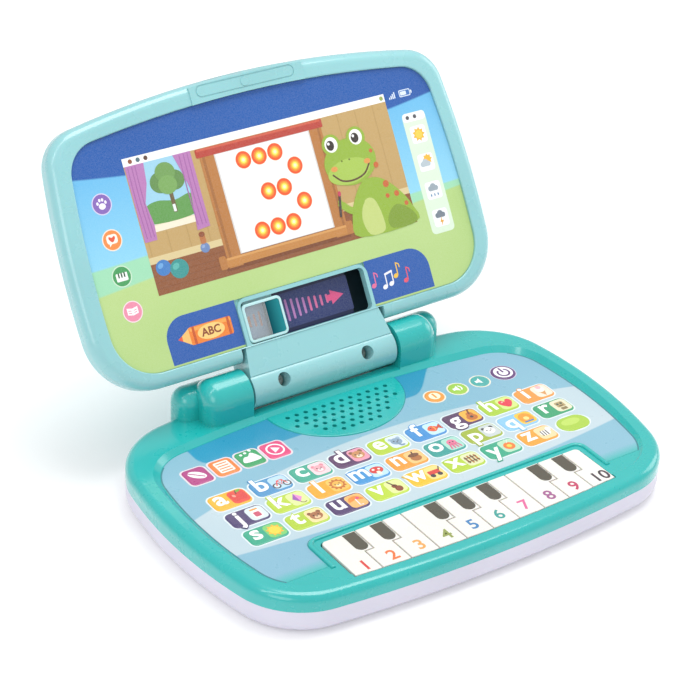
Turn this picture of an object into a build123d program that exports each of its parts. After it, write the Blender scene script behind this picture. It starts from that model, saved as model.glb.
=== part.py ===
"""Toy laptop computer: a base with a piano and a printed membrane keyboard, and a lid with an LED
picture screen and a mode slider.

Frame: millimetres, +Z up. The origin is on the table under the middle of the base, +X runs to the
player's right and +Y to the back, where the hinge is. The lid is modelled open, at its stop.
"""

import os
from math import cos, radians, sin

from build123d import *

os.makedirs("parts", exist_ok=True)

# ---- driving dimensions -------------------------------------------------------------------------
KEY_PITCH = 16.0
KEY_COUNT = 10

# Heights in the base, measured from the table.
BOTTOM_Z = 0.0
SEAM_Z = 13.7
DECK_Z = 21.7
RIM_Z = 24.4
WALL = 2.4
DECK_UNDER_Z = DECK_Z - 2.4

# Plan of the base: long shallow arcs joined by round corners.
BASE_HALF_WIDTH = 131.7
BASE_FRONT_Y = -88.3
BASE_REAR_Y = 88.8

# The sunk deck inside the rim.
DECK_HALF_WIDTH = 119.6
DECK_FRONT_Y = -76.0
DECK_REAR_Y = 59.5
DECK_FLARE = 50.0

# Hinge: one axis along X through both knuckles of the base.
AXIS_Y = 72.8
AXIS_Z = 33.1
KNUCKLE_RADIUS = 11.8
KNUCKLE_INNER_X = 46.3
KNUCKLE_OUTER_X = 72.5
BLOCK_RADIUS = 10.6
BLOCK_HALF_WIDTH = 44.6
PIN_RADIUS = 3.5
RUNNING_FIT = 0.05

# Lid: its print panel leans back by LID_LEAN from the horizontal and meets the deck at LID_FOOT_Y.
LID_LEAN = 58.26
LID_FOOT_Y = 57.92
LID_HALF_WIDTH = 125.1
LID_TOP_V = 177.3
BEZEL_H = 1.5
PANEL_THICKNESS = 1.0
LID_BACK_H = -14.5
LID_WALL = 2.2
PLATE_UNDER_H = -3.0

# Piano.
PIANO_X = 1.5
KEY_TOP_Z = DECK_Z + 0.8
KEY_SKIRT_Z = 17.5
KEY_REAR_Y = -46.6
KEY_GAP = 0.5
KEY_END_INSET = 0.9
AXLE_Y = -36.0
AXLE_Z = 16.4
AXLE_RADIUS = 1.0
JOG_SHIFT = 5.0
JOG_Y = -62.7
SEAMS_WITH_BLACK_KEY = (1, 2, 4, 5, 6, 8, 9)

# Mode slider in the lid.
WINDOW_HALF_WIDTH = 38.4
WINDOW_LOW_V = 39.2
WINDOW_HIGH_V = 61.6
SLIDER_X = -25.9
SLIDER_WIDTH = 24.0
SLIDER_LOW_V = 39.6
SLIDER_HIGH_V = 60.2

# LED matrix behind the print panel.
LED_COLUMNS = 4
LED_ROWS = 5
LED_PITCH_X = 9.7
LED_PITCH_V = 9.45
LED_CENTRE_X = 0.8
LED_CENTRE_V = 113.3

# ---- planes -------------------------------------------------------------------------------------
LEAN_COS = cos(radians(LID_LEAN))
LEAN_SIN = sin(radians(LID_LEAN))
lid_plane = Plane(origin=(0, LID_FOOT_Y, DECK_Z), x_dir=(1, 0, 0), z_dir=(0, -LEAN_SIN, LEAN_COS))
LID_FACING = Axis((0, LID_FOOT_Y, DECK_Z), (0, -LEAN_SIN, LEAN_COS))
AXIS_V = (AXIS_Y - LID_FOOT_Y) * LEAN_COS + (AXIS_Z - DECK_Z) * LEAN_SIN
AXIS_H = -(AXIS_Y - LID_FOOT_Y) * LEAN_SIN + (AXIS_Z - DECK_Z) * LEAN_COS


def lid_side(x):
    """Plane across the lid at x: local X runs up the lid, local Y out of its front."""
    return Plane(origin=(x, LID_FOOT_Y, DECK_Z), x_dir=(0, LEAN_COS, LEAN_SIN), z_dir=(1, 0, 0))


def base_side(x):
    """Plane across the base at x: local X is world Y, local Y is world Z."""
    return Plane(origin=(x, 0, 0), x_dir=(0, 1, 0), z_dir=(1, 0, 0))


def seam_x(number):
    """Line between white keys number and number + 1."""
    return PIANO_X + (number - KEY_COUNT / 2) * KEY_PITCH


# ---- plan outlines ------------------------------------------------------------------------------
# Each is the corner and the middle of its front arc, the middle of its side arc, the corner and the
# middle of its rear arc, and the radii of its front and rear corners.
BASE_SHAPE = (
    (118.0, -79.5), BASE_FRONT_Y, (BASE_HALF_WIDTH, 8.0), (121.6, 74.8), BASE_REAR_Y, 38.8, 44.0
)
DECK_SHAPE = (
    (109.5, -71.0), DECK_FRONT_Y, (DECK_HALF_WIDTH, 0.0), (114.0, 51.0), DECK_REAR_Y, 27.0, 26.0
)
LID_SHAPE = ((122.6, 31.5), 31.3, (LID_HALF_WIDTH, 92.0), (118.6, 165.4), LID_TOP_V, 33.0, 21.5)
PANEL_SHAPE = ((112.0, 39.3), 39.1, (113.6, 88.0), (108.4, 157.6), 166.1, 24.0, 18.0)


def bowed_plan(shape, inset=0.0):
    """Outline of four shallow arcs with round corners, drawn inset inside the full shape."""
    front, front_y, side, rear, rear_y, front_radius, rear_radius = shape
    fx, fy = front[0] - inset, front[1] + inset
    rx, ry = rear[0] - inset, rear[1] - inset
    sx, sy = side[0] - inset, side[1]
    with BuildSketch() as plan:
        with BuildLine():
            ThreePointArc((-fx, fy), (0, front_y + inset), (fx, fy))
            ThreePointArc((fx, fy), (sx, sy), (rx, ry))
            ThreePointArc((rx, ry), (0, rear_y - inset), (-rx, ry))
            ThreePointArc((-rx, ry), (-sx, sy), (-fx, fy))
        make_face()
        fillet(plan.vertices().group_by(Axis.Y)[0], front_radius - inset)
        fillet(plan.vertices().group_by(Axis.Y)[-1], rear_radius - inset)
    return plan.sketch


base_plan = bowed_plan(BASE_SHAPE)
base_cavity = bowed_plan(BASE_SHAPE, WALL + 1.0)
tongue_outer = bowed_plan(BASE_SHAPE, WALL + 0.2)
top_cavity = bowed_plan(BASE_SHAPE, WALL)
deck_plan = bowed_plan(DECK_SHAPE)
lid_plan = bowed_plan(LID_SHAPE)
lid_cavity = bowed_plan(LID_SHAPE, LID_WALL)
panel_plan = bowed_plan(PANEL_SHAPE)
panel_fit = bowed_plan(PANEL_SHAPE, 0.15)
grip_plan = bowed_plan(LID_SHAPE, 1.8)

# Field of white keys: a row with a bowed front edge.
KEY_FRONT_Y = -79.6
KEY_FRONT_ARC = 1000.0
WINDOW_LEFT = seam_x(0) + KEY_END_INSET - KEY_GAP
WINDOW_RIGHT = seam_x(KEY_COUNT) - KEY_END_INSET + KEY_GAP
WINDOW_REAR_Y = KEY_REAR_Y + KEY_GAP
with BuildSketch() as key_window:
    with Locations(((WINDOW_LEFT + WINDOW_RIGHT) / 2, WINDOW_REAR_Y)):
        Rectangle(WINDOW_RIGHT - WINDOW_LEFT, 60.0, align=(Align.CENTER, Align.MAX))
    fillet(key_window.vertices().group_by(Axis.Y)[-1], 3.0)
    with Locations((PIANO_X, KEY_FRONT_Y + KEY_FRONT_ARC)):
        Circle(KEY_FRONT_ARC + KEY_GAP, mode=Mode.INTERSECT)

# Round speaker boss on the deck and the printed area around it.
GRILLE_CENTRE_Y = 58.4
GRILLE_HALF_WIDTH = 40.0
GRILLE_DEPTH = 36.0
GRILLE_RAISE = 0.5
PRINT_FRONT_Y = -63.4
SURROUND_HALF_WIDTH = 84.9
SURROUND_REAR_Y = -41.0
SURROUND_LENGTH = 24.5
SURROUND_ROUND = 6.5
BEAD_WIDTH = 2.3
with BuildSketch() as grille_pad:
    with Locations((0, GRILLE_CENTRE_Y)):
        Ellipse(GRILLE_HALF_WIDTH, GRILLE_DEPTH)
    with Locations((0, GRILLE_CENTRE_Y)):
        Rectangle(
            2 * GRILLE_HALF_WIDTH, 2 * GRILLE_DEPTH, align=(Align.CENTER, Align.MIN), mode=Mode.SUBTRACT
        )

with BuildSketch() as surround:
    with Locations((PIANO_X, SURROUND_REAR_Y)):
        Rectangle(2 * SURROUND_HALF_WIDTH, SURROUND_LENGTH, align=(Align.CENTER, Align.MAX))
    fillet(surround.vertices().group_by(Axis.Y)[-1], SURROUND_ROUND)
    with Locations((PIANO_X, SURROUND_REAR_Y - BEAD_WIDTH)):
        RectangleRounded(
            2 * (SURROUND_HALF_WIDTH - BEAD_WIDTH),
            60.0,
            SURROUND_ROUND - BEAD_WIDTH,
            align=(Align.CENTER, Align.MAX),
            mode=Mode.SUBTRACT,
        )


def print_area(fit):
    """Printed area of the deck, drawn fit inside its pocket."""
    with BuildSketch() as area:
        add(bowed_plan(DECK_SHAPE, 0.4 + fit))
        with Locations((0, PRINT_FRONT_Y + fit)):
            Rectangle(300, 60, align=(Align.CENTER, Align.MAX), mode=Mode.SUBTRACT)
        with Locations((0, GRILLE_CENTRE_Y)):
            Ellipse(GRILLE_HALF_WIDTH + 0.3 + fit, GRILLE_DEPTH + 0.3 + fit, mode=Mode.SUBTRACT)
        with Locations((PIANO_X, SURROUND_REAR_Y + 0.3 + fit)):
            RectangleRounded(
                2 * (SURROUND_HALF_WIDTH + 0.3 + fit),
                60.0,
                SURROUND_ROUND + 0.3 + fit,
                align=(Align.CENTER, Align.MAX),
                mode=Mode.SUBTRACT,
            )
    return area.sketch


print_pocket = print_area(0.0)
print_sheet = print_area(0.12)

# Slider frame on the lid, and the plan of the hinge block's upper flat.
FRAME_WIDTH = 2.1
with BuildSketch() as slider_rim_plan:
    with Locations((0, WINDOW_LOW_V - FRAME_WIDTH)):
        Rectangle(
            2 * (WINDOW_HALF_WIDTH + FRAME_WIDTH),
            WINDOW_HIGH_V - WINDOW_LOW_V + 2 * FRAME_WIDTH,
            align=(Align.CENTER, Align.MIN),
        )
    fillet(slider_rim_plan.vertices().group_by(Axis.Y)[-1], 6.0)
with BuildSketch() as window_plan:
    with Locations((0, WINDOW_LOW_V)):
        Rectangle(
            2 * WINDOW_HALF_WIDTH, WINDOW_HIGH_V - WINDOW_LOW_V, align=(Align.CENTER, Align.MIN)
        )
    fillet(window_plan.vertices(), 2.5)

# ---- fastening points ---------------------------------------------------------------------------
BASE_SCREWS = [(-100, -62), (100, -62), (-118, 8), (118, 8), (-98, 62), (98, 62)]
BOARD_SCREWS = [(30, -6), (88, -6), (30, 26), (88, 26)]
LID_SCREWS = [(-100, 60), (100, 60), (-98, 146), (98, 146)]
BLOCK_SCREW_X = 26.2

# Battery bay: three round cells side by side, along X.
CELL_RADIUS = 7.1
CELL_LENGTH = 50.0
CELL_PITCH = 15.4
CELL_Z = 10.4
BAY_X = -55.0
BAY_Y = 6.0
BAY_LENGTH = 60.0
BAY_WIDTH = 48.0
DOOR_LENGTH = 72.0
DOOR_WIDTH = 52.0
DOOR_THICKNESS = 2.0
BAY_TOP_Z = 18.7

# ---- base: bottom shell -------------------------------------------------------------------------
FLOOR_Z = BOTTOM_Z + 2.4
BOSS_RADIUS = 4.0
MEET_Z = 12.0

with BuildPart() as base_bottom_shell:
    with BuildSketch(Plane.XY.offset(BOTTOM_Z)):
        add(base_plan)
    extrude(amount=SEAM_Z - BOTTOM_Z)
    fillet(base_bottom_shell.faces().sort_by(Axis.Z)[0].edges(), 7.5)
    with BuildSketch(Plane.XY.offset(FLOOR_Z)):
        add(base_cavity)
    extrude(amount=SEAM_Z, mode=Mode.SUBTRACT)
    # Tongue that centres the top shell on the seam.
    with BuildSketch(Plane.XY.offset(SEAM_Z)):
        add(tongue_outer)
        add(base_cavity, mode=Mode.SUBTRACT)
    extrude(amount=1.6)
    # Screw towers, with a well for each screw head.
    with BuildSketch(Plane.XY.offset(FLOOR_Z)):
        with Locations(BASE_SCREWS):
            Circle(BOSS_RADIUS + 1.0)
    extrude(amount=MEET_Z - FLOOR_Z)
    with BuildSketch(Plane.XY.offset(BOTTOM_Z)):
        with Locations(BASE_SCREWS):
            Circle(3.4)
    extrude(amount=5.0, mode=Mode.SUBTRACT)
    with BuildSketch(Plane.XY.offset(BOTTOM_Z)):
        with Locations(BASE_SCREWS):
            Circle(1.7)
    extrude(amount=MEET_Z, mode=Mode.SUBTRACT)
    # Battery bay walls and the opening under them.
    with BuildSketch(Plane.XY.offset(FLOOR_Z)):
        with Locations((BAY_X, BAY_Y)):
            Rectangle(BAY_LENGTH + 4.0, BAY_WIDTH + 4.0)
            Rectangle(BAY_LENGTH, BAY_WIDTH, mode=Mode.SUBTRACT)
    extrude(amount=BAY_TOP_Z - FLOOR_Z)
    with BuildSketch(Plane.XY.offset(BOTTOM_Z)):
        with Locations((BAY_X, BAY_Y)):
            Rectangle(BAY_LENGTH, BAY_WIDTH)
    extrude(amount=FLOOR_Z, mode=Mode.SUBTRACT)
    # Pocket that the battery door lies in, with a tower for its screw.
    with BuildSketch(Plane.XY.offset(BOTTOM_Z)):
        with Locations((BAY_X + 1.0, BAY_Y)):
            RectangleRounded(DOOR_LENGTH + 0.5, DOOR_WIDTH + 0.5, 3.2)
    extrude(amount=DOOR_THICKNESS, mode=Mode.SUBTRACT)
    with BuildSketch(Plane.XY.offset(BOTTOM_Z + DOOR_THICKNESS)):
        with Locations((BAY_X + BAY_LENGTH / 2 + 4.4, BAY_Y)):
            Circle(3.6)
    extrude(amount=7.0)
    with BuildSketch(Plane.XY.offset(BOTTOM_Z + DOOR_THICKNESS)):
        with Locations((BAY_X + BAY_LENGTH / 2 + 4.4, BAY_Y)):
            Circle(1.3)
    extrude(amount=6.0, mode=Mode.SUBTRACT)
    # Posts for the main circuit board and the piano contact board.
    with BuildSketch(Plane.XY.offset(FLOOR_Z)):
        with Locations(BOARD_SCREWS):
            Circle(3.0)
            Circle(1.1, mode=Mode.SUBTRACT)
    extrude(amount=9.0 - FLOOR_Z)
    with BuildSketch(Plane.XY.offset(FLOOR_Z)):
        with Locations([(seam_x(2 * k + 1), -64.0) for k in range(5)]):
            Rectangle(3.0, 12.0)
    extrude(amount=10.4 - FLOOR_Z)
base_bottom_shell.part.label = "base_bottom_shell"
export_step(base_bottom_shell.part, "parts/base_bottom_shell.step")

# ---- base: top shell ----------------------------------------------------------------------------
CROWN_Y = 25.0
CROWN_RADIUS = 2455.0
GRILLE_PITCH = 5.6
GRILLE_ROW_PITCH = 4.6
GRILLE_HOLE = 1.25
GRILLE_ROWS = 6
LOBE_Y = 81.0
LOBE_Z = 31.5
LOBE_RADIUS = 8.5
LOBE_OUTER_X = 82.5
BLOCK_CLEARANCE = 0.8
TROUGH_LIP_Z = 23.6
SHEET_POCKET = 0.9
KNUCKLE_WALL = 3.4
RIB_THICKNESS = 2.0


def rounded_arch(centre_y, centre_z, radius, foot_z, outer_x, rounding):
    """Arch on foot_z that runs from the hinge block's side out along +X to a rounded end."""
    with BuildPart() as arch:
        with BuildSketch(base_side(KNUCKLE_INNER_X)):
            with Locations((centre_y, centre_z)):
                Circle(radius)
            with Locations((centre_y, foot_z)):
                Rectangle(2 * radius, centre_z - foot_z, align=(Align.CENTER, Align.MIN))
        extrude(amount=outer_x - KNUCKLE_INNER_X)
        rim = arch.faces().sort_by(Axis.X)[-1].edges().filter_by(lambda edge: edge.center().Z > foot_z + 0.1)
        fillet(rim, rounding)
    return arch.part


def grille_holes():
    """Centres of the staggered speaker holes that lie inside the boss."""
    spots = []
    for row in range(GRILLE_ROWS):
        y = 30.0 + row * GRILLE_ROW_PITCH
        shift = GRILLE_PITCH / 2 if row % 2 else 0.0
        for column in range(-7, 8):
            x = column * GRILLE_PITCH + shift
            reach = (x / (GRILLE_HALF_WIDTH - 5.5)) ** 2 + ((y - 57.0) / (GRILLE_DEPTH - 6.0)) ** 2
            if reach < 1.0:
                spots.append((x, y))
    return spots


def upper_seam_x(number):
    """Line between two white keys beside the black key, or their plain seam."""
    if number in SEAMS_WITH_BLACK_KEY:
        return seam_x(number) + JOG_SHIFT
    return seam_x(number)


knuckle = rounded_arch(AXIS_Y, AXIS_Z, KNUCKLE_RADIUS, SEAM_Z + 4.0, KNUCKLE_OUTER_X, 8.5)
lobe = rounded_arch(LOBE_Y, LOBE_Z, LOBE_RADIUS, SEAM_Z, LOBE_OUTER_X, 7.5)

with BuildPart() as speaker_boss:
    with BuildSketch(Plane.XY.offset(DECK_Z - 0.5)):
        add(grille_pad.sketch)
    extrude(amount=GRILLE_RAISE + 0.5)
    fillet(speaker_boss.faces().sort_by(Axis.Z)[-1].edges().filter_by(GeomType.ELLIPSE), 0.4)

with BuildPart() as bead:
    with BuildSketch(Plane.XY.offset(DECK_Z - 0.5)):
        add(surround.sketch)
    extrude(amount=1.5)
    fillet(bead.faces().sort_by(Axis.Z)[-1].edges(), 0.8)

with BuildPart() as base_top_shell:
    with BuildSketch(Plane.XY.offset(SEAM_Z)):
        add(base_plan)
    extrude(amount=RIM_Z - SEAM_Z)
    # The rim is crowned, so it falls away towards the front.
    with BuildSketch(base_side(-150.0)):
        with Locations((CROWN_Y, RIM_Z - CROWN_RADIUS)):
            Circle(CROWN_RADIUS)
    extrude(amount=300.0, mode=Mode.INTERSECT)
    fillet(base_top_shell.faces().sort_by(Axis.Z)[-1].edges(), 4.5)
    with BuildSketch(Plane.XY.offset(DECK_Z)):
        add(deck_plan)
    extrude(amount=5.0, taper=-DECK_FLARE, mode=Mode.SUBTRACT)
    # Knuckles, and the lower lobes behind them.
    add(knuckle)
    add(mirror(knuckle, about=Plane.YZ))
    add(lobe)
    add(mirror(lobe, about=Plane.YZ))
    # Speaker boss and the raised surround of the piano.
    add(speaker_boss.part)
    add(bead.part)
    # Hollow underneath, and room for the lid's hinge block to turn.
    with BuildSketch(Plane.XY.offset(SEAM_Z)):
        add(top_cavity)
    extrude(amount=DECK_UNDER_Z - SEAM_Z, mode=Mode.SUBTRACT)
    with BuildSketch(base_side(-KNUCKLE_INNER_X)):
        with Locations((AXIS_Y, AXIS_Z)):
            Circle(BLOCK_RADIUS + BLOCK_CLEARANCE)
        with Locations((AXIS_Y, TROUGH_LIP_Z)):
            Rectangle(15.0, 12.0, align=(Align.MAX, Align.MIN))
    extrude(amount=2 * KNUCKLE_INNER_X, mode=Mode.SUBTRACT)
    for side in (-1, 1):
        with BuildSketch(base_side(side * (KNUCKLE_INNER_X + KNUCKLE_WALL))):
            with Locations((AXIS_Y, AXIS_Z)):
                Circle(KNUCKLE_RADIUS - WALL)
            with Locations((AXIS_Y, SEAM_Z)):
                Rectangle(
                    2 * (KNUCKLE_RADIUS - WALL), AXIS_Z - SEAM_Z, align=(Align.CENTER, Align.MIN)
                )
        extrude(amount=side * 15.0, mode=Mode.SUBTRACT)
        with BuildSketch(base_side(side * (KNUCKLE_INNER_X - 1.0))):
            with Locations((AXIS_Y, AXIS_Z)):
                Circle(PIN_RADIUS + RUNNING_FIT)
        extrude(amount=side * 6.0, mode=Mode.SUBTRACT)
    # Window for the keys, pocket for the printed sheets, speaker holes.
    with BuildSketch(Plane.XY.offset(SEAM_Z)):
        add(key_window.sketch)
    extrude(amount=20.0, mode=Mode.SUBTRACT)
    with BuildSketch(Plane.XY.offset(DECK_Z - SHEET_POCKET)):
        add(print_pocket)
    extrude(amount=2.0, mode=Mode.SUBTRACT)
    with BuildSketch(Plane.XY.offset(SEAM_Z)):
        with Locations(grille_holes()):
            Circle(GRILLE_HOLE)
    extrude(amount=12.0, mode=Mode.SUBTRACT)
    # Screw bosses.
    with BuildSketch(Plane.XY.offset(MEET_Z)):
        with Locations(BASE_SCREWS):
            Circle(BOSS_RADIUS)
            Circle(1.3, mode=Mode.SUBTRACT)
    extrude(amount=DECK_UNDER_Z - MEET_Z)
    # Ribs that hold the key axle.
    for number in range(KEY_COUNT + 1):
        with BuildSketch(base_side(upper_seam_x(number) - RIB_THICKNESS / 2)):
            with Locations((AXLE_Y, AXLE_Z - 3.0)):
                Rectangle(7.0, DECK_UNDER_Z - AXLE_Z + 3.0, align=(Align.CENTER, Align.MIN))
            with Locations((AXLE_Y, AXLE_Z)):
                Circle(AXLE_RADIUS, mode=Mode.SUBTRACT)
        extrude(amount=RIB_THICKNESS)
base_top_shell.part.label = "base_top_shell"
export_step(base_top_shell.part, "parts/base_top_shell.step")

# ---- base: printed sheets -----------------------------------------------------------------------
with BuildPart() as membrane_circuit:
    with BuildSketch(Plane.XY.offset(DECK_Z - SHEET_POCKET)):
        add(print_sheet)
    extrude(amount=0.5)
membrane_circuit.part.label = "membrane_circuit"
export_step(membrane_circuit.part, "parts/membrane_circuit.step")

with BuildPart() as keyboard_overlay:
    with BuildSketch(Plane.XY.offset(DECK_Z - 0.4)):
        add(print_sheet)
    extrude(amount=0.4)
keyboard_overlay.part.label = "keyboard_overlay"
export_step(keyboard_overlay.part, "parts/keyboard_overlay.step")

# ---- piano --------------------------------------------------------------------------------------
KEY_SIDE_GAP = 0.35
KEY_WALL = 1.4
KEY_PLATE = 2.0
EYE_RADIUS = 2.6
EYE_WIDTH = 6.5
PLUNGER_Y = -68.0
PLUNGER_RADIUS = 2.5
PLUNGER_FOOT_Z = 16.0
BLACK_WIDTH = 7.0
BLACK_REAR_Y = -47.4
BLACK_FRONT_Y = -61.8
BLACK_SINK = 0.4
BLACK_RAISE = 0.3


def key_outline(number, inset):
    """Corners of a white key, ahead of the cut that gives it its bowed front edge."""
    margin = KEY_SIDE_GAP + inset
    low_left, high_left = seam_x(number - 1) + margin, upper_seam_x(number - 1) + margin
    low_right, high_right = seam_x(number) - margin, upper_seam_x(number) - margin
    if number == 1:
        low_left = high_left = low_left + KEY_END_INSET
    if number == KEY_COUNT:
        low_right = high_right = low_right - KEY_END_INSET
    rear = KEY_REAR_Y - inset
    corners = [(low_left, -95.0)]
    if high_left > low_left:
        corners += [(low_left, JOG_Y - margin), (high_left, JOG_Y - margin)]
    corners += [(high_left, rear), (high_right, rear)]
    if high_right > low_right:
        corners += [(high_right, JOG_Y + margin), (low_right, JOG_Y + margin)]
    return corners + [(low_right, -95.0)]


def black_outline(number, grow):
    """Rounded bar of the black key at a seam, in the sketch that is open."""
    x = seam_x(number) + 0.6
    half = BLACK_WIDTH / 2 + grow
    with Locations((x, BLACK_FRONT_Y + BLACK_WIDTH / 2)):
        Circle(half)
    with Locations((x, BLACK_REAR_Y + grow)):
        Rectangle(
            2 * half,
            BLACK_REAR_Y - BLACK_FRONT_Y - BLACK_WIDTH / 2 + grow,
            align=(Align.CENTER, Align.MAX),
        )


for number in range(1, KEY_COUNT + 1):
    arm_x = (upper_seam_x(number - 1) + upper_seam_x(number)) / 2
    plunger_x = (seam_x(number - 1) + seam_x(number)) / 2
    with BuildPart() as white_key:
        with BuildSketch(Plane.XY.offset(KEY_SKIRT_Z)) as key_plan:
            Polygon(key_outline(number, 0.0), align=None)
            if number == 1:
                fillet(key_plan.vertices().sort_by_distance((seam_x(0), KEY_REAR_Y))[0], 2.5)
            if number == KEY_COUNT:
                fillet(key_plan.vertices().sort_by_distance((seam_x(KEY_COUNT), KEY_REAR_Y))[0], 2.5)
            with Locations((PIANO_X, KEY_FRONT_Y + KEY_FRONT_ARC)):
                Circle(KEY_FRONT_ARC, mode=Mode.INTERSECT)
        extrude(amount=KEY_TOP_Z - KEY_SKIRT_Z)
        fillet(white_key.faces().sort_by(Axis.Z)[-1].edges(), 0.4)
        with BuildSketch(Plane.XY.offset(KEY_SKIRT_Z)):
            Polygon(key_outline(number, KEY_WALL), align=None)
            with Locations((PIANO_X, KEY_FRONT_Y + KEY_FRONT_ARC)):
                Circle(KEY_FRONT_ARC - KEY_WALL, mode=Mode.INTERSECT)
        extrude(amount=KEY_TOP_Z - KEY_PLATE - KEY_SKIRT_Z, mode=Mode.SUBTRACT)
        # Arm back to the eye on the axle.
        with BuildSketch(base_side(arm_x - EYE_WIDTH / 2)):
            with Locations((AXLE_Y, AXLE_Z)):
                Circle(EYE_RADIUS)
            with BuildLine():
                Polyline(
                    (AXLE_Y, AXLE_Z - 2.0),
                    (AXLE_Y, AXLE_Z + 2.2),
                    (KEY_REAR_Y + 0.2, AXLE_Z + 2.2),
                    (KEY_REAR_Y - 0.8, KEY_TOP_Z - KEY_PLATE + 0.2),
                    (KEY_REAR_Y - 6.0, KEY_TOP_Z - KEY_PLATE + 0.2),
                    (KEY_REAR_Y - 4.0, AXLE_Z - 2.0),
                    close=True,
                )
            make_face()
            with Locations((AXLE_Y, AXLE_Z)):
                Circle(AXLE_RADIUS + RUNNING_FIT, mode=Mode.SUBTRACT)
        extrude(amount=EYE_WIDTH)
        # Plunger over its rubber dome.
        with BuildSketch(Plane.XY.offset(PLUNGER_FOOT_Z)):
            with Locations((plunger_x, PLUNGER_Y)):
                Circle(PLUNGER_RADIUS)
        extrude(amount=KEY_TOP_Z - KEY_PLATE - PLUNGER_FOOT_Z + 0.2)
        if number in SEAMS_WITH_BLACK_KEY:
            with BuildSketch(Plane.XY.offset(KEY_TOP_Z - BLACK_SINK)):
                black_outline(number, 0.0)
            extrude(amount=2.0, mode=Mode.SUBTRACT)
    white_key.part.label = f"white_key_{number}"
    export_step(white_key.part, f"parts/white_key_{number}.step")

for order, number in enumerate(SEAMS_WITH_BLACK_KEY, start=1):
    with BuildPart() as black_key:
        with BuildSketch(Plane.XY.offset(KEY_TOP_Z - BLACK_SINK)):
            black_outline(number, -0.02)
        extrude(amount=BLACK_SINK + BLACK_RAISE)
        fillet(black_key.faces().sort_by(Axis.Z)[-1].edges(), 0.25)
    black_key.part.label = f"black_key_{order}"
    export_step(black_key.part, f"parts/black_key_{order}.step")

with BuildPart() as key_axle:
    with BuildSketch(base_side(seam_x(0) - 2.0)):
        with Locations((AXLE_Y, AXLE_Z)):
            Circle(AXLE_RADIUS)
    extrude(amount=KEY_COUNT * KEY_PITCH + 4.0)
key_axle.part.label = "key_axle"
export_step(key_axle.part, "parts/key_axle.step")

CONTACT_BOARD_Z = 10.4
DOME_GAP = 1.6
with BuildPart() as piano_contact_board:
    with BuildSketch(Plane.XY.offset(CONTACT_BOARD_Z)):
        with Locations((PIANO_X, PLUNGER_Y + 1.0)):
            Rectangle(KEY_COUNT * KEY_PITCH, 14.0)
    extrude(amount=1.6)
piano_contact_board.part.label = "piano_contact_board"
export_step(piano_contact_board.part, "parts/piano_contact_board.step")

DOME_FOOT_Z = CONTACT_BOARD_Z + 1.6
with BuildPart() as rubber_dome_strip:
    with BuildSketch(Plane.XY.offset(DOME_FOOT_Z)):
        with Locations((PIANO_X, PLUNGER_Y + 1.0)):
            Rectangle(KEY_COUNT * KEY_PITCH - 2.0, 12.0)
    extrude(amount=0.8)
    for number in range(1, KEY_COUNT + 1):
        with Locations((seam_x(number) - KEY_PITCH / 2, PLUNGER_Y, DOME_FOOT_Z + 0.8)):
            Cone(
                4.4,
                2.8,
                PLUNGER_FOOT_Z - DOME_GAP - DOME_FOOT_Z - 0.8,
                align=(Align.CENTER, Align.CENTER, Align.MIN),
            )
rubber_dome_strip.part.label = "rubber_dome_strip"
export_step(rubber_dome_strip.part, "parts/rubber_dome_strip.step")

# ---- base: electronics, speaker, batteries ------------------------------------------------------
BOARD_Z = 9.0
with BuildPart() as main_circuit_board:
    with BuildSketch(Plane.XY.offset(BOARD_Z)):
        with Locations((59.0, 10.0)):
            Rectangle(68.0, 42.0)
        with Locations(BOARD_SCREWS):
            Circle(1.4, mode=Mode.SUBTRACT)
    extrude(amount=1.6)
main_circuit_board.part.label = "main_circuit_board"
export_step(main_circuit_board.part, "parts/main_circuit_board.step")

with BuildPart() as board_chips:
    with BuildSketch(Plane.XY.offset(BOARD_Z + 1.6)):
        with Locations((52.0, 12.0)):
            Rectangle(12.0, 12.0)
        with Locations((72.0, 16.0)):
            Rectangle(6.0, 4.0)
        with Locations((72.0, 4.0)):
            Rectangle(8.0, 3.5)
    extrude(amount=1.4)
    with BuildSketch(Plane.XY.offset(BOARD_Z + 1.6)):
        with Locations((38.0, 2.0), (38.0, 14.0)):
            Circle(3.0)
    extrude(amount=5.0)
board_chips.part.label = "board_chips"
export_step(board_chips.part, "parts/board_chips.step")

SCREW_HEAD_RADIUS = 2.8
with BuildPart() as board_screws:
    with BuildSketch(Plane.XY.offset(BOARD_Z + 1.6)):
        with Locations(BOARD_SCREWS):
            Circle(SCREW_HEAD_RADIUS)
    extrude(amount=1.6)
    with BuildSketch(Plane.XY.offset(FLOOR_Z + 0.6)):
        with Locations(BOARD_SCREWS):
            Circle(1.1)
    extrude(amount=BOARD_Z + 1.6 - FLOOR_Z - 0.6)
board_screws.part.label = "board_screws"
export_step(board_screws.part, "parts/board_screws.step")

SPEAKER_Y = 40.0
SPEAKER_RADIUS = 18.0
with BuildPart() as speaker_frame:
    with BuildSketch(Plane.XZ.offset(-SPEAKER_Y)):
        with BuildLine():
            Polyline(
                (18.0, DECK_UNDER_Z),
                (18.0, DECK_UNDER_Z - 1.4),
                (15.6, DECK_UNDER_Z - 1.4),
                (10.0, 11.0),
                (0.0, 11.0),
                (0.0, 11.8),
                (9.4, 11.8),
                (15.0, DECK_UNDER_Z - 0.6),
                (16.6, DECK_UNDER_Z - 0.6),
                (16.6, DECK_UNDER_Z),
                close=True,
            )
        make_face()
    revolve(axis=Axis((0, SPEAKER_Y, 0), (0, 0, 1)))
speaker_frame.part.label = "speaker_frame"
export_step(speaker_frame.part, "parts/speaker_frame.step")

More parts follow.
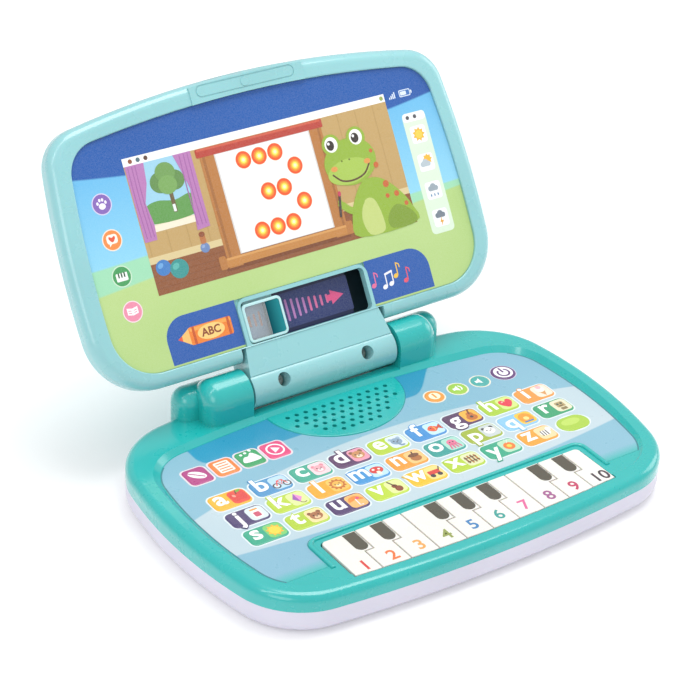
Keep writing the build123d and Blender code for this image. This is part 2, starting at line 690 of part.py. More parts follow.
with BuildPart() as speaker_cone:
    with BuildSketch(Plane.XZ.offset(-SPEAKER_Y)):
        with BuildLine():
            Polyline(
                (16.4, 18.7),
                (16.4, 19.1),
                (14.6, 19.1),
                (5.0, 14.4),
                (0.0, 15.4),
                (0.0, 14.9),
                (5.0, 13.9),
                (14.8, 18.7),
                close=True,
            )
        make_face()
    revolve(axis=Axis((0, SPEAKER_Y, 0), (0, 0, 1)))
speaker_cone.part.label = "speaker_cone"
export_step(speaker_cone.part, "parts/speaker_cone.step")

with BuildPart() as speaker_magnet:
    with BuildSketch(Plane.XY.offset(5.0)):
        with Locations((0, SPEAKER_Y)):
            Circle(9.0)
    extrude(amount=6.0)
    chamfer(speaker_magnet.faces().sort_by(Axis.Z)[0].edges(), 0.8)
speaker_magnet.part.label = "speaker_magnet"
export_step(speaker_magnet.part, "parts/speaker_magnet.step")

CELL_ROWS = [BAY_Y + k * CELL_PITCH for k in (-1, 0, 1)]
with BuildPart() as batteries:
    for order, row in enumerate(CELL_ROWS):
        facing = 1 if order % 2 == 0 else -1
        with BuildSketch(base_side(BAY_X - facing * CELL_LENGTH / 2)):
            with Locations((row, CELL_Z)):
                Circle(CELL_RADIUS)
        extrude(amount=facing * (CELL_LENGTH - 1.2))
        with BuildSketch(base_side(BAY_X + facing * (CELL_LENGTH / 2 - 1.2))):
            with Locations((row, CELL_Z)):
                Circle(2.7)
        extrude(amount=facing * 1.2)
batteries.part.label = "batteries"
export_step(batteries.part, "parts/batteries.step")

with BuildPart() as battery_contacts:
    for row in CELL_ROWS:
        for side in (-1, 1):
            with BuildSketch(base_side(BAY_X + side * (BAY_LENGTH / 2 - 0.5))):
                with Locations((row, CELL_Z)):
                    Rectangle(10.0, 11.0)
            extrude(amount=side * 0.5)
            with BuildSketch(base_side(BAY_X + side * (BAY_LENGTH / 2 - 0.5))):
                with Locations((row, CELL_Z)):
                    Circle(3.6)
            extrude(amount=-side * 4.3, taper=12.0)
battery_contacts.part.label = "battery_contacts"
export_step(battery_contacts.part, "parts/battery_contacts.step")

DOOR_SCREW_X = BAY_X + BAY_LENGTH / 2 + 4.4
with BuildPart() as battery_door:
    with BuildSketch(Plane.XY.offset(BOTTOM_Z)):
        with Locations((BAY_X + 1.0, BAY_Y)):
            RectangleRounded(DOOR_LENGTH, DOOR_WIDTH, 3.0)
    extrude(amount=DOOR_THICKNESS)
    with BuildSketch(Plane.XY.offset(BOTTOM_Z)):
        with Locations((DOOR_SCREW_X, BAY_Y)):
            Circle(2.9)
    extrude(amount=1.0, mode=Mode.SUBTRACT)
    with BuildSketch(Plane.XY.offset(BOTTOM_Z)):
        with Locations((DOOR_SCREW_X, BAY_Y)):
            Circle(1.5)
    extrude(amount=DOOR_THICKNESS, mode=Mode.SUBTRACT)
battery_door.part.label = "battery_door"
export_step(battery_door.part, "parts/battery_door.step")

with BuildPart() as battery_door_screw:
    with BuildSketch(Plane.XY.offset(BOTTOM_Z + 0.1)):
        with Locations((DOOR_SCREW_X, BAY_Y)):
            Circle(2.6)
    extrude(amount=0.9)
    with BuildSketch(Plane.XY.offset(BOTTOM_Z + 1.0)):
        with Locations((DOOR_SCREW_X, BAY_Y)):
            Circle(1.3)
    extrude(amount=6.8)
    with BuildSketch(Plane.XY.offset(BOTTOM_Z + 0.1)):
        with Locations((DOOR_SCREW_X, BAY_Y)):
            Rectangle(3.0, 0.7)
            Rectangle(0.7, 3.0)
    extrude(amount=0.6, mode=Mode.SUBTRACT)
battery_door_screw.part.label = "battery_door_screw"
export_step(battery_door_screw.part, "parts/battery_door_screw.step")

with BuildPart() as base_screws:
    with BuildSketch(Plane.XY.offset(BOTTOM_Z + 3.2)):
        with Locations(BASE_SCREWS):
            Circle(3.0)
    extrude(amount=1.8)
    with BuildSketch(Plane.XY.offset(BOTTOM_Z + 5.0)):
        with Locations(BASE_SCREWS):
            Circle(1.3)
    extrude(amount=11.0)
    with BuildSketch(Plane.XY.offset(BOTTOM_Z + 3.2)):
        with Locations(BASE_SCREWS):
            Rectangle(3.6, 0.8)
            Rectangle(0.8, 3.6)
    extrude(amount=1.0, mode=Mode.SUBTRACT)
base_screws.part.label = "base_screws"
export_step(base_screws.part, "parts/base_screws.step")

FLANGE_H = -4.6

# ---- lid ----------------------------------------------------------------------------------------
BLOCK_FACE_V = 38.6
BLOCK_FACE_H = 0.9
BLOCK_CREASE_V = 23.6
BLOCK_CREASE_H = 2.6
BLOCK_TAPER = 3.0
LED_HOLE_RADIUS = 3.5
LID_FRONT_ROUND = 5.5
LID_REAR_ROUND = 7.0
LED_BOARD_H = -6.0
BEZEL_LIP = 0.8
GRIP_HALF_WIDTH = 34.5
GRIP_RAISE = 0.5
GRIP_V = 171.3
REFLECTOR_H = -4.8
LEDS = [
    (LED_CENTRE_X + (column - 1.5) * LED_PITCH_X, LED_CENTRE_V + (row - 2) * LED_PITCH_V)
    for row in range(LED_ROWS)
    for column in range(LED_COLUMNS)
]


def lid_layer(h):
    """Plane at depth h in front of the print panel."""
    return lid_plane.offset(h)


with BuildPart() as hinge_block:
    # Barrel round the hinge axis, running up into a flat face in the lid.
    with BuildSketch(lid_side(-BLOCK_HALF_WIDTH)):
        with Locations((AXIS_V, AXIS_H)):
            Circle(BLOCK_RADIUS)
        with BuildLine():
            Polyline(
                (BLOCK_CREASE_V, BLOCK_CREASE_H),
                (BLOCK_FACE_V, BLOCK_FACE_H),
                (BLOCK_FACE_V, LID_BACK_H + 0.2),
                (AXIS_V + 1.5, AXIS_H - BLOCK_RADIUS + 1.6),
                close=True,
            )
        make_face()
    extrude(amount=2 * BLOCK_HALF_WIDTH)
    # It narrows towards the lid.
    with BuildSketch(lid_layer(LID_BACK_H - 10.0)):
        with BuildLine():
            Polyline(
                (-BLOCK_HALF_WIDTH, 0.0),
                (BLOCK_HALF_WIDTH, 0.0),
                (BLOCK_HALF_WIDTH, BLOCK_CREASE_V - 2.0),
                (BLOCK_HALF_WIDTH - BLOCK_TAPER, BLOCK_FACE_V + 0.1),
                (BLOCK_TAPER - BLOCK_HALF_WIDTH, BLOCK_FACE_V + 0.1),
                (-BLOCK_HALF_WIDTH, BLOCK_CREASE_V - 2.0),
                close=True,
            )
        make_face()
    extrude(amount=40.0, mode=Mode.INTERSECT)
    # Hollow in the middle, pin bores at the ends, and wells for the two screws.
    with BuildSketch(lid_side(-20.0)):
        with Locations((AXIS_V, AXIS_H)):
            Circle(BLOCK_RADIUS - 3.0)
    extrude(amount=40.0, mode=Mode.SUBTRACT)
    for side in (-1, 1):
        with BuildSketch(lid_side(side * 36.0)):
            with Locations((AXIS_V, AXIS_H)):
                Circle(PIN_RADIUS)
        extrude(amount=side * 12.0, mode=Mode.SUBTRACT)
        with BuildSketch(lid_layer(AXIS_H + 1.0)):
            with Locations((side * BLOCK_SCREW_X, AXIS_V)):
                Circle(3.7)
        extrude(amount=14.0, mode=Mode.SUBTRACT)
        with BuildSketch(lid_layer(AXIS_H - 6.0)):
            with Locations((side * BLOCK_SCREW_X, AXIS_V)):
                Circle(1.5)
        extrude(amount=8.0, mode=Mode.SUBTRACT)

block_front = split(hinge_block.part, bisect_by=lid_layer(AXIS_H), keep=Keep.TOP)
block_rear = split(hinge_block.part, bisect_by=lid_layer(AXIS_H), keep=Keep.BOTTOM)

with BuildPart() as lid_front_frame:
    with BuildSketch(lid_layer(AXIS_H)):
        add(lid_plan)
    extrude(amount=BEZEL_H - AXIS_H)
    fillet(lid_front_frame.faces().sort_by(LID_FACING)[-1].edges(), LID_FRONT_ROUND)
    with BuildSketch(lid_layer(-PANEL_THICKNESS)):
        add(panel_plan)
    extrude(amount=10.0, mode=Mode.SUBTRACT)
    fillet(lid_front_frame.faces().sort_by(LID_FACING)[-1].inner_wires()[0].edges(), BEZEL_LIP)
    with BuildSketch(lid_layer(AXIS_H)):
        add(lid_cavity)
    extrude(amount=PLATE_UNDER_H - AXIS_H, mode=Mode.SUBTRACT)
    # Raised grip on the top bezel with a sunk stadium and a round button in it.
    with BuildSketch(lid_layer(-1.0)):
        add(grip_plan)
        with Locations((0, PANEL_SHAPE[4] - 10.0)):
            Rectangle(2 * GRIP_HALF_WIDTH, 40.0, align=(Align.CENTER, Align.MIN), mode=Mode.INTERSECT)
    extrude(amount=BEZEL_H + 1.0 + GRIP_RAISE)
    with BuildSketch(lid_layer(BEZEL_H + GRIP_RAISE - 0.35)):
        with Locations((-1.0, GRIP_V)):
            SlotOverall(60.0, 6.6)
            SlotOverall(58.6, 5.2, mode=Mode.SUBTRACT)
    extrude(amount=2.0, mode=Mode.SUBTRACT)
    with BuildSketch(lid_layer(0.0)):
        with Locations((-1.5, GRIP_V)):
            Circle(2.3)
    extrude(amount=BEZEL_H + GRIP_RAISE + 0.3)
    with BuildSketch(lid_layer(-PANEL_THICKNESS)):
        add(panel_plan)
    extrude(amount=10.0, mode=Mode.SUBTRACT)
    # Raised frame of the slider window and the window itself.
    with BuildSketch(lid_layer(PLATE_UNDER_H)):
        add(slider_rim_plan.sketch)
    extrude(amount=1.2 - PLATE_UNDER_H)
    with BuildSketch(lid_layer(AXIS_H)):
        add(window_plan.sketch)
    extrude(amount=12.0, mode=Mode.SUBTRACT)
    with BuildSketch(lid_layer(AXIS_H)):
        with Locations(LEDS):
            Circle(LED_HOLE_RADIUS)
    extrude(amount=12.0, mode=Mode.SUBTRACT)
    # Front half of the hinge block.
    with BuildSketch(lid_layer(AXIS_H)):
        with Locations((0, BLOCK_FACE_V)):
            Rectangle(2 * BLOCK_HALF_WIDTH, 60.0, align=(Align.CENTER, Align.MAX))
    extrude(amount=30.0, mode=Mode.SUBTRACT)
    add(block_front)
    # Groove in the block for the slider's flange.
    with BuildSketch(lid_layer(FLANGE_H - 0.2)):
        with Locations((0, BLOCK_FACE_V - 1.2)):
            Rectangle(2 * WINDOW_HALF_WIDTH + 2.0, 2.0, align=(Align.CENTER, Align.MIN))
    extrude(amount=PLATE_UNDER_H - FLANGE_H + 0.2, mode=Mode.SUBTRACT)
    # Screw towers of the lid.
    with BuildSketch(lid_layer(AXIS_H + 0.0)):
        with Locations(LID_SCREWS):
            Circle(3.6)
            Circle(1.2, mode=Mode.SUBTRACT)
    extrude(amount=PLATE_UNDER_H - AXIS_H)
lid_front_frame.part.label = "lid_front_frame"
export_step(lid_front_frame.part, "parts/lid_front_frame.step")

with BuildPart() as lid_rear_shell:
    with BuildSketch(lid_layer(LID_BACK_H)):
        add(lid_plan)
    extrude(amount=AXIS_H - LID_BACK_H)
    fillet(lid_rear_shell.faces().sort_by(LID_FACING)[0].edges(), LID_REAR_ROUND)
    with BuildSketch(lid_layer(LID_BACK_H + LID_WALL)):
        add(lid_cavity)
    extrude(amount=AXIS_H - LID_BACK_H, mode=Mode.SUBTRACT)
    # Rear half of the hinge block.
    with BuildSketch(lid_layer(LID_BACK_H - 1.0)):
        with Locations((0, BLOCK_FACE_V)):
            Rectangle(2 * BLOCK_HALF_WIDTH, 60.0, align=(Align.CENTER, Align.MAX))
    extrude(amount=30.0, mode=Mode.SUBTRACT)
    add(block_rear)
    # Screw towers, with a well for each head at the back.
    with BuildSketch(lid_layer(LID_BACK_H + LID_WALL)):
        with Locations(LID_SCREWS):
            Circle(4.6)
    extrude(amount=AXIS_H - LID_BACK_H - LID_WALL)
    with BuildSketch(lid_layer(LID_BACK_H)):
        with Locations(LID_SCREWS):
            Circle(3.2)
    extrude(amount=4.4, mode=Mode.SUBTRACT)
    with BuildSketch(lid_layer(LID_BACK_H)):
        with Locations(LID_SCREWS):
            Circle(1.6)
    extrude(amount=10.0, mode=Mode.SUBTRACT)
lid_rear_shell.part.label = "lid_rear_shell"
export_step(lid_rear_shell.part, "parts/lid_rear_shell.step")

# The print panel is cut round the slider frame and the hinge block.
with BuildPart() as screen_panel:
    with BuildSketch(lid_layer(-PANEL_THICKNESS)):
        add(panel_fit)
        with Locations((0, WINDOW_LOW_V - FRAME_WIDTH - 0.15)):
            Rectangle(
                2 * (WINDOW_HALF_WIDTH + FRAME_WIDTH) + 0.3,
                WINDOW_HIGH_V - WINDOW_LOW_V + 2 * FRAME_WIDTH + 0.3,
                align=(Align.CENTER, Align.MIN),
                mode=Mode.SUBTRACT,
            )
        with Locations((0, BLOCK_FACE_V + 0.2)):
            Rectangle(
                2 * BLOCK_HALF_WIDTH + 0.4, 60.0, align=(Align.CENTER, Align.MAX), mode=Mode.SUBTRACT
            )
    extrude(amount=PANEL_THICKNESS)
screen_panel.part.label = "screen_panel"
export_step(screen_panel.part, "parts/screen_panel.step")

with BuildPart() as led_reflector:
    with BuildSketch(lid_layer(REFLECTOR_H)):
        with Locations((LED_CENTRE_X, LED_CENTRE_V)):
            RectangleRounded(48.0, 56.0, 3.0)
        with Locations(LEDS):
            Circle(3.1, mode=Mode.SUBTRACT)
    extrude(amount=PLATE_UNDER_H - REFLECTOR_H)
led_reflector.part.label = "led_reflector"
export_step(led_reflector.part, "parts/led_reflector.step")

with BuildPart() as led_board:
    with BuildSketch(lid_layer(LED_BOARD_H)):
        with Locations((LED_CENTRE_X, LED_CENTRE_V)):
            Rectangle(58.0, 60.0)
    extrude(amount=REFLECTOR_H - LED_BOARD_H)
led_board.part.label = "led_board"
export_step(led_board.part, "parts/led_board.step")

with BuildPart() as screen_leds:
    with BuildSketch(lid_layer(REFLECTOR_H)):
        with Locations(LEDS):
            Circle(2.5)
    extrude(amount=2.2)
    for x, v in LEDS:
        with Locations(lid_layer(REFLECTOR_H + 2.2).location * Location((x, v, 0))):
            Cone(2.5, 1.3, 1.2, align=(Align.CENTER, Align.CENTER, Align.MIN))
screen_leds.part.label = "screen_leds"
export_step(screen_leds.part, "parts/screen_leds.step")

# ---- mode slider --------------------------------------------------------------------------------
TRACK_H = -7.2
SLIDER_FIT = 0.1
with BuildPart() as slider_track_plate:
    with BuildSketch(lid_layer(TRACK_H)):
        with Locations((-WINDOW_HALF_WIDTH - 3.0, BLOCK_FACE_V + 0.2)):
            Rectangle(72.0, WINDOW_HIGH_V - BLOCK_FACE_V + 3.0, align=(Align.MIN, Align.MIN))
    extrude(amount=1.0)
slider_track_plate.part.label = "slider_track_plate"
export_step(slider_track_plate.part, "parts/slider_track_plate.step")

SLIDER_MIDDLE_V = (SLIDER_LOW_V + SLIDER_HIGH_V) / 2
SLIDER_HEIGHT = SLIDER_HIGH_V - SLIDER_LOW_V
SLIDER_WALL = 1.5
with BuildPart() as slider_frame:
    with BuildSketch(lid_layer(-5.0)):
        with Locations((SLIDER_X, SLIDER_MIDDLE_V)):
            RectangleRounded(SLIDER_WIDTH, SLIDER_HEIGHT, 2.8)
    extrude(amount=5.9)
    fillet(slider_frame.faces().sort_by(LID_FACING)[-1].edges(), 0.6)
    # Flange under the edge of the window.
    with BuildSketch(lid_layer(FLANGE_H)):
        with Locations((SLIDER_X, (WINDOW_LOW_V + WINDOW_HIGH_V) / 2)):
            Rectangle(SLIDER_WIDTH - 6.0, WINDOW_HIGH_V - WINDOW_LOW_V + 2.4)
    extrude(amount=PLATE_UNDER_H - FLANGE_H - 0.1)
    with BuildSketch(lid_layer(-5.0)):
        with Locations((SLIDER_X, SLIDER_MIDDLE_V)):
            RectangleRounded(SLIDER_WIDTH - 2 * SLIDER_WALL, SLIDER_HEIGHT - 2 * SLIDER_WALL, 1.4)
    extrude(amount=10.0, mode=Mode.SUBTRACT)
    with BuildSketch(lid_layer(-1.0)):
        with Locations((SLIDER_X, SLIDER_MIDDLE_V)):
            RectangleRounded(SLIDER_WIDTH - 1.8, SLIDER_HEIGHT - 1.8, 2.0)
    extrude(amount=1.2, mode=Mode.SUBTRACT)
slider_frame.part.label = "slider_frame"
export_step(slider_frame.part, "parts/slider_frame.step")

SLIDER_LENS_FIT = 0.05
with BuildPart() as slider_lens:
    with BuildSketch(lid_layer(-1.0)):
        with Locations((SLIDER_X, SLIDER_MIDDLE_V)):
            RectangleRounded(SLIDER_WIDTH - 1.9, SLIDER_HEIGHT - 1.9, 1.95)
    extrude(amount=1.1)
    with BuildSketch(lid_layer(0.1)):
        with Locations((SLIDER_X, SLIDER_MIDDLE_V)):
            RectangleRounded(
                SLIDER_WIDTH - 2 * SLIDER_WALL - 0.1, SLIDER_HEIGHT - 2 * SLIDER_WALL - 0.1, 1.35
            )
    extrude(amount=0.5)
slider_lens.part.label = "slider_lens"
export_step(slider_lens.part, "parts/slider_lens.step")

with BuildPart() as slider_contact:
    with BuildSketch(lid_layer(TRACK_H + 1.1)):
        with Locations((SLIDER_X, WINDOW_HIGH_V + 0.2)):
            Rectangle(12.0, 1.2)
    extrude(amount=1.5)
slider_contact.part.label = "slider_contact"
export_step(slider_contact.part, "parts/slider_contact.step")

# ---- lid fasteners and hinge pins ---------------------------------------------------------------
for side, name in ((-1, "hinge_pin_left"), (1, "hinge_pin_right")):
    with BuildPart() as hinge_pin:
        with BuildSketch(base_side(side * 36.0)):
            with Locations((AXIS_Y, AXIS_Z)):
                Circle(PIN_RADIUS)
        extrude(amount=side * 16.0)
        chamfer(hinge_pin.faces().sort_by(Axis.X)[-1 if side > 0 else 0].edges(), 0.5)
    hinge_pin.part.label = name
    export_step(hinge_pin.part, f"parts/{name}.step")

with BuildPart() as hinge_block_screws:
    with BuildSketch(lid_layer(AXIS_H + 1.0)):
        with Locations([(side * BLOCK_SCREW_X, AXIS_V) for side in (-1, 1)]):
            Circle(3.1)
    extrude(amount=2.0)
    with BuildSketch(lid_layer(AXIS_H - 5.8)):
        with Locations([(side * BLOCK_SCREW_X, AXIS_V) for side in (-1, 1)]):
            Circle(1.5)
    extrude(amount=6.8)
    with BuildSketch(lid_layer(AXIS_H + 2.2)):
        with Locations([(side * BLOCK_SCREW_X, AXIS_V) for side in (-1, 1)]):
            Rectangle(3.8, 0.8)
            Rectangle(0.8, 3.8)
    extrude(amount=2.0, mode=Mode.SUBTRACT)
hinge_block_screws.part.label = "hinge_block_screws"
export_step(hinge_block_screws.part, "parts/hinge_block_screws.step")

with BuildPart() as lid_screws:
    with BuildSketch(lid_layer(LID_BACK_H + 2.6)):
        with Locations(LID_SCREWS):
            Circle(2.9)
    extrude(amount=1.8)
    with BuildSketch(lid_layer(LID_BACK_H + 4.4)):
        with Locations(LID_SCREWS):
            Circle(1.2)
    extrude(amount=6.5)
    with BuildSketch(lid_layer(LID_BACK_H + 2.6)):
        with Locations(LID_SCREWS):
            Rectangle(3.4, 0.8)
            Rectangle(0.8, 3.4)
    extrude(amount=1.0, mode=Mode.SUBTRACT)
lid_screws.part.label = "lid_screws"
export_step(lid_screws.part, "parts/lid_screws.step")
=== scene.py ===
"""Looks of the toy laptop computer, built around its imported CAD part. Metres, in the part's frame."""

import math

import bmesh
import bpy
from mathutils import Matrix, Vector


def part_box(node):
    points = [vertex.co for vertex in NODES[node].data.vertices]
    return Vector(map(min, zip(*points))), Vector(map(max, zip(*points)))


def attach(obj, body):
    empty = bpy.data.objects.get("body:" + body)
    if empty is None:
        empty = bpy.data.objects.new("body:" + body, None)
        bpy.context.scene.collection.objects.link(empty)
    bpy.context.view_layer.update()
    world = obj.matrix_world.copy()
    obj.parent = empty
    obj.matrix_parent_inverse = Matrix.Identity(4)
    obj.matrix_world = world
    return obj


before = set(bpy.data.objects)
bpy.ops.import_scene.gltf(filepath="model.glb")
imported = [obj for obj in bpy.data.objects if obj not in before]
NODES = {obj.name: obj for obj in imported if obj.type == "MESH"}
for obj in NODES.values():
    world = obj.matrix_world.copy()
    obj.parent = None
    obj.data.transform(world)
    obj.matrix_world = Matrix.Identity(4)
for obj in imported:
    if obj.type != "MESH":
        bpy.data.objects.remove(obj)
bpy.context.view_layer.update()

MM = 0.001
UNIT = 0.016  # pitch of the white piano keys, the step of the printed layout
INNER_DEPTH = 12.9 * MM  # the rear shell's inner face lies less than this behind the print panel
CELL_BAND_X = -42.5 * MM
STRAIGHT_END_Y = 47.0 * MM  # where the overlay's sides turn into its rear corners
WHITE = "FFFFFF"

# ---- planes of the printed sheets -----------------------------------------------------------------
DECK_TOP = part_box("keyboard_overlay")[1][2]
KEY_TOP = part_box("white_key_5")[1][2]
LAYOUT_X = 0.08
LAYOUT_Y = 2.9
ALONG = Vector((1, 0, 0))


def panel_frame():
    """Normal of the lid's print panel and a point of its front face, read from its largest face."""
    mesh = NODES["screen_panel"].data
    place = NODES["screen_panel"].matrix_world
    face = max((p for p in mesh.polygons if p.normal.y < -0.5), key=lambda p: p.area)
    return (place.to_3x3() @ face.normal).normalized(), place @ mesh.vertices[face.vertices[0]].co


panel_normal, panel_point = panel_frame()
UP_LID = panel_normal.cross(ALONG).normalized()
# The sheet's origin is where its plane meets the deck's.
foot = panel_point + UP_LID * ((DECK_TOP - panel_point.z) / UP_LID.z)
foot.x = 0.0


def sheet_matrix(right, up, facing, origin):
    """Axes and origin of a sheet in the part's frame."""
    turn = Matrix((right, up, facing)).transposed().to_4x4()
    return Matrix.Translation(origin) @ turn


DECK_SHEET = sheet_matrix(
    ALONG, Vector((0, 1, 0)), Vector((0, 0, 1)), Vector((LAYOUT_X * UNIT, -LAYOUT_Y * UNIT, DECK_TOP))
)
KEY_SHEET = sheet_matrix(
    ALONG, Vector((0, 1, 0)), Vector((0, 0, 1)), Vector((LAYOUT_X * UNIT, -LAYOUT_Y * UNIT, KEY_TOP))
)
LID_SHEET = sheet_matrix(ALONG, UP_LID, panel_normal, foot + ALONG * LAYOUT_X * UNIT)

# ---- camera ---------------------------------------------------------------------------------------
CAMERA_PLACE = Vector((-0.56597, -0.73749, 0.63940))
CAMERA_RIGHT = Vector((0.8237, -0.5655, 0.0421))
CAMERA_DOWN = Vector((-0.2625, -0.4460, -0.8557))
CAMERA_LENS = 113.14
scene = bpy.context.scene
camera_data = bpy.data.cameras.new("camera")
camera_data.lens = CAMERA_LENS
camera_data.sensor_width = 36.0
camera = bpy.data.objects.new("camera", camera_data)
scene.collection.objects.link(camera)
camera_back = CAMERA_DOWN.cross(CAMERA_RIGHT).normalized()
camera_up = camera_back.cross(CAMERA_RIGHT).normalized()
camera.matrix_world = sheet_matrix(CAMERA_RIGHT, camera_up, camera_back, CAMERA_PLACE)
scene.camera = camera

# ---- studio ---------------------------------------------------------------------------------------
scene.view_settings.view_transform = "Standard"
world = bpy.data.worlds.new("studio")
scene.world = world
world.use_nodes = True
background = world.node_tree.nodes["Background"]
background.inputs["Color"].default_value = (0.98, 0.99, 1.0, 1.0)
background.inputs["Strength"].default_value = 0.68


def area_light(name, position, target, size, power):
    """Soft box that looks at a point."""
    data = bpy.data.lights.new(name, "AREA")
    data.shape = "RECTANGLE"
    data.size, data.size_y = size
    data.energy = power
    light = bpy.data.objects.new(name, data)
    scene.collection.objects.link(light)
    light.location = position
    light.rotation_euler = (Vector(target) - Vector(position)).to_track_quat("-Z", "Y").to_euler()


area_light("key_light", (0.35, 0.15, 1.35), (0, 0, 0.05), (0.8, 0.8), 8.5)
area_light("fill_light", (-1.15, -0.75, 0.75), (0, 0, 0.08), (0.7, 0.7), 3.2)
area_light("side_light", (1.2, -0.1, 0.55), (0, 0, 0.08), (0.6, 0.6), 2.5)
area_light("strip_light", (-0.5, -0.05, 1.1), (0, 0, 0.08), (0.12, 1.2), 2.2)

# ---- materials ------------------------------------------------------------------------------------


def srgb(code, alpha=1.0):
    """Linear colour of a hex code."""
    parts = [int(code[i : i + 2], 16) / 255 for i in (0, 2, 4)]
    linear = [c / 12.92 if c <= 0.04045 else ((c + 0.055) / 1.055) ** 2.4 for c in parts]
    return (*linear, alpha)


def shade(colour, factor):
    """A colour made darker or lighter."""
    return (*[min(1.0, c * factor) for c in colour[:3]], colour[3])


class Shader:
    """A node material under construction."""

    def __init__(self, name):
        self.material = bpy.data.materials.new(name)
        self.material.use_nodes = True
        self.nodes = self.material.node_tree.nodes
        self.links = self.material.node_tree.links
        self.surface = self.nodes["Principled BSDF"]
        self.place = self.node("ShaderNodeTexCoord").outputs["Object"]

    def node(self, kind, **settings):
        """Adds a shader node."""
        made = self.nodes.new(kind)
        for key, value in settings.items():
            setattr(made, key, value)
        return made

    def put(self, value, socket):
        """Links a socket or sets a number."""
        if isinstance(value, bpy.types.NodeSocket):
            self.links.new(value, socket)
        else:
            socket.default_value = value

    def set(self, **values):
        """Links or sets inputs of the surface, named with underscores."""
        for key, value in values.items():
            self.put(value, self.surface.inputs[key.replace("_", " ")])

    def noise(self, scale, detail=2.0, roughness=0.5):
        made = self.node("ShaderNodeTexNoise")
        self.links.new(self.place, made.inputs["Vector"])
        made.inputs["Scale"].default_value = scale
        made.inputs["Detail"].default_value = detail
        made.inputs["Roughness"].default_value = roughness
        return made.outputs["Fac"]

    def spread(self, value, low, high, to_low=0.0, to_high=1.0):
        made = self.node("ShaderNodeMapRange")
        self.put(value, made.inputs["Value"])
        for key, number in (("From Min", low), ("From Max", high), ("To Min", to_low), ("To Max", to_high)):
            made.inputs[key].default_value = number
        return made.outputs["Result"]

    def mix(self, factor, first, second):
        made = self.node("ShaderNodeMix", data_type="RGBA")
        self.put(factor, made.inputs["Factor"])
        self.put(first, made.inputs["A"])
        self.put(second, made.inputs["B"])
        return made.outputs["Result"]

    def math(self, operation, first, second=0.0):
        made = self.node("ShaderNodeMath", operation=operation)
        self.put(first, made.inputs[0])
        self.put(second, made.inputs[1])
        return made.outputs["Value"]

    def bump(self, height, distance, strength=1.0):
        """Relief from a height, in metres."""
        made = self.node("ShaderNodeBump")
        self.put(height, made.inputs["Height"])
        made.inputs["Distance"].default_value = distance
        made.inputs["Strength"].default_value = strength
        self.links.new(made.outputs["Normal"], self.surface.inputs["Normal"])

    def along(self, direction, origin, shift):
        """Layout coordinate of a point along a direction of the part's frame."""
        dot = self.node("ShaderNodeVectorMath", operation="DOT_PRODUCT")
        self.links.new(self.place, dot.inputs[0])
        dot.inputs[1].default_value = tuple(direction / UNIT)
        return self.math("ADD", dot.outputs["Value"], shift - origin.dot(direction) / UNIT)

    def curve(self, x, middle, rise):
        """Parabola over x: middle + rise * x * x."""
        return self.math("ADD", self.math("MULTIPLY", self.math("MULTIPLY", x, x), rise), middle)

    def above(self, value, limit, soft=0.03):
        """One where value is over the limit, with a soft edge."""
        return self.spread(self.math("SUBTRACT", value, limit), -soft, soft)


def moulded(name, code, roughness=0.38, grain=0.00003, coat=0.15, tint=0.94, depth=0.05):
    """Moulded plastic: faint flow marks in the colour, spark-eroded grain and uneven gloss."""
    s = Shader(name)
    colour = srgb(code)
    flow = s.spread(s.noise(18.0, 3.0), 0.35, 0.65)
    speck = s.spread(s.noise(900.0, 1.0), 0.72, 0.80)
    base = s.mix(flow, shade(colour, tint), colour)
    base = s.mix(s.math("MULTIPLY", speck, 0.12), base, shade(colour, 0.7))
    s.set(Base_Color=base, Coat_Weight=coat, Coat_Roughness=0.12, Subsurface_Weight=depth)
    s.set(Subsurface_Scale=0.002)
    rough = s.spread(s.noise(60.0, 4.0, 0.6), 0.3, 0.7, roughness - 0.05, roughness + 0.07)
    s.set(Roughness=rough)
    grains = s.math("ADD", s.noise(1500.0, 2.0), s.math("MULTIPLY", s.noise(420.0, 1.0), 0.4))
    s.bump(grains, grain, 0.6)
    return s.material


def metal(name, code, roughness=0.3, streak=600.0):
    """Plated or turned metal with fine streaks."""
    s = Shader(name)
    colour = srgb(code)
    marks = s.noise(streak, 3.0, 0.7)
    s.set(Base_Color=s.mix(marks, shade(colour, 0.75), colour), Metallic=1.0)
    s.set(Roughness=s.spread(marks, 0.3, 0.7, roughness - 0.08, roughness + 0.1))
    s.bump(marks, 0.00002, 0.5)
    return s.material


def film(s, colour, roughness=0.3, coat=0.3):
    """Printed film: a faint halftone in the ink, fine orange peel and a clear coat."""
    tone = s.spread(s.noise(2400.0, 1.0), 0.3, 0.7, 0.0, 0.07)
    s.set(Base_Color=s.mix(tone, colour, (1.0, 1.0, 1.0, 1.0)))
    s.set(Roughness=s.spread(s.noise(90.0, 3.0), 0.3, 0.7, roughness - 0.04, roughness + 0.06))
    s.set(Coat_Weight=coat, Coat_Roughness=0.12, Specular_IOR_Level=0.35)
    s.bump(s.noise(350.0, 2.0), 0.00001, 0.5)
    return s.material


def dress(material, *names):
    """Gives CAD nodes a material."""
    for name in names:
        data = NODES[name].data
        data.materials.clear()
        data.materials.append(material)


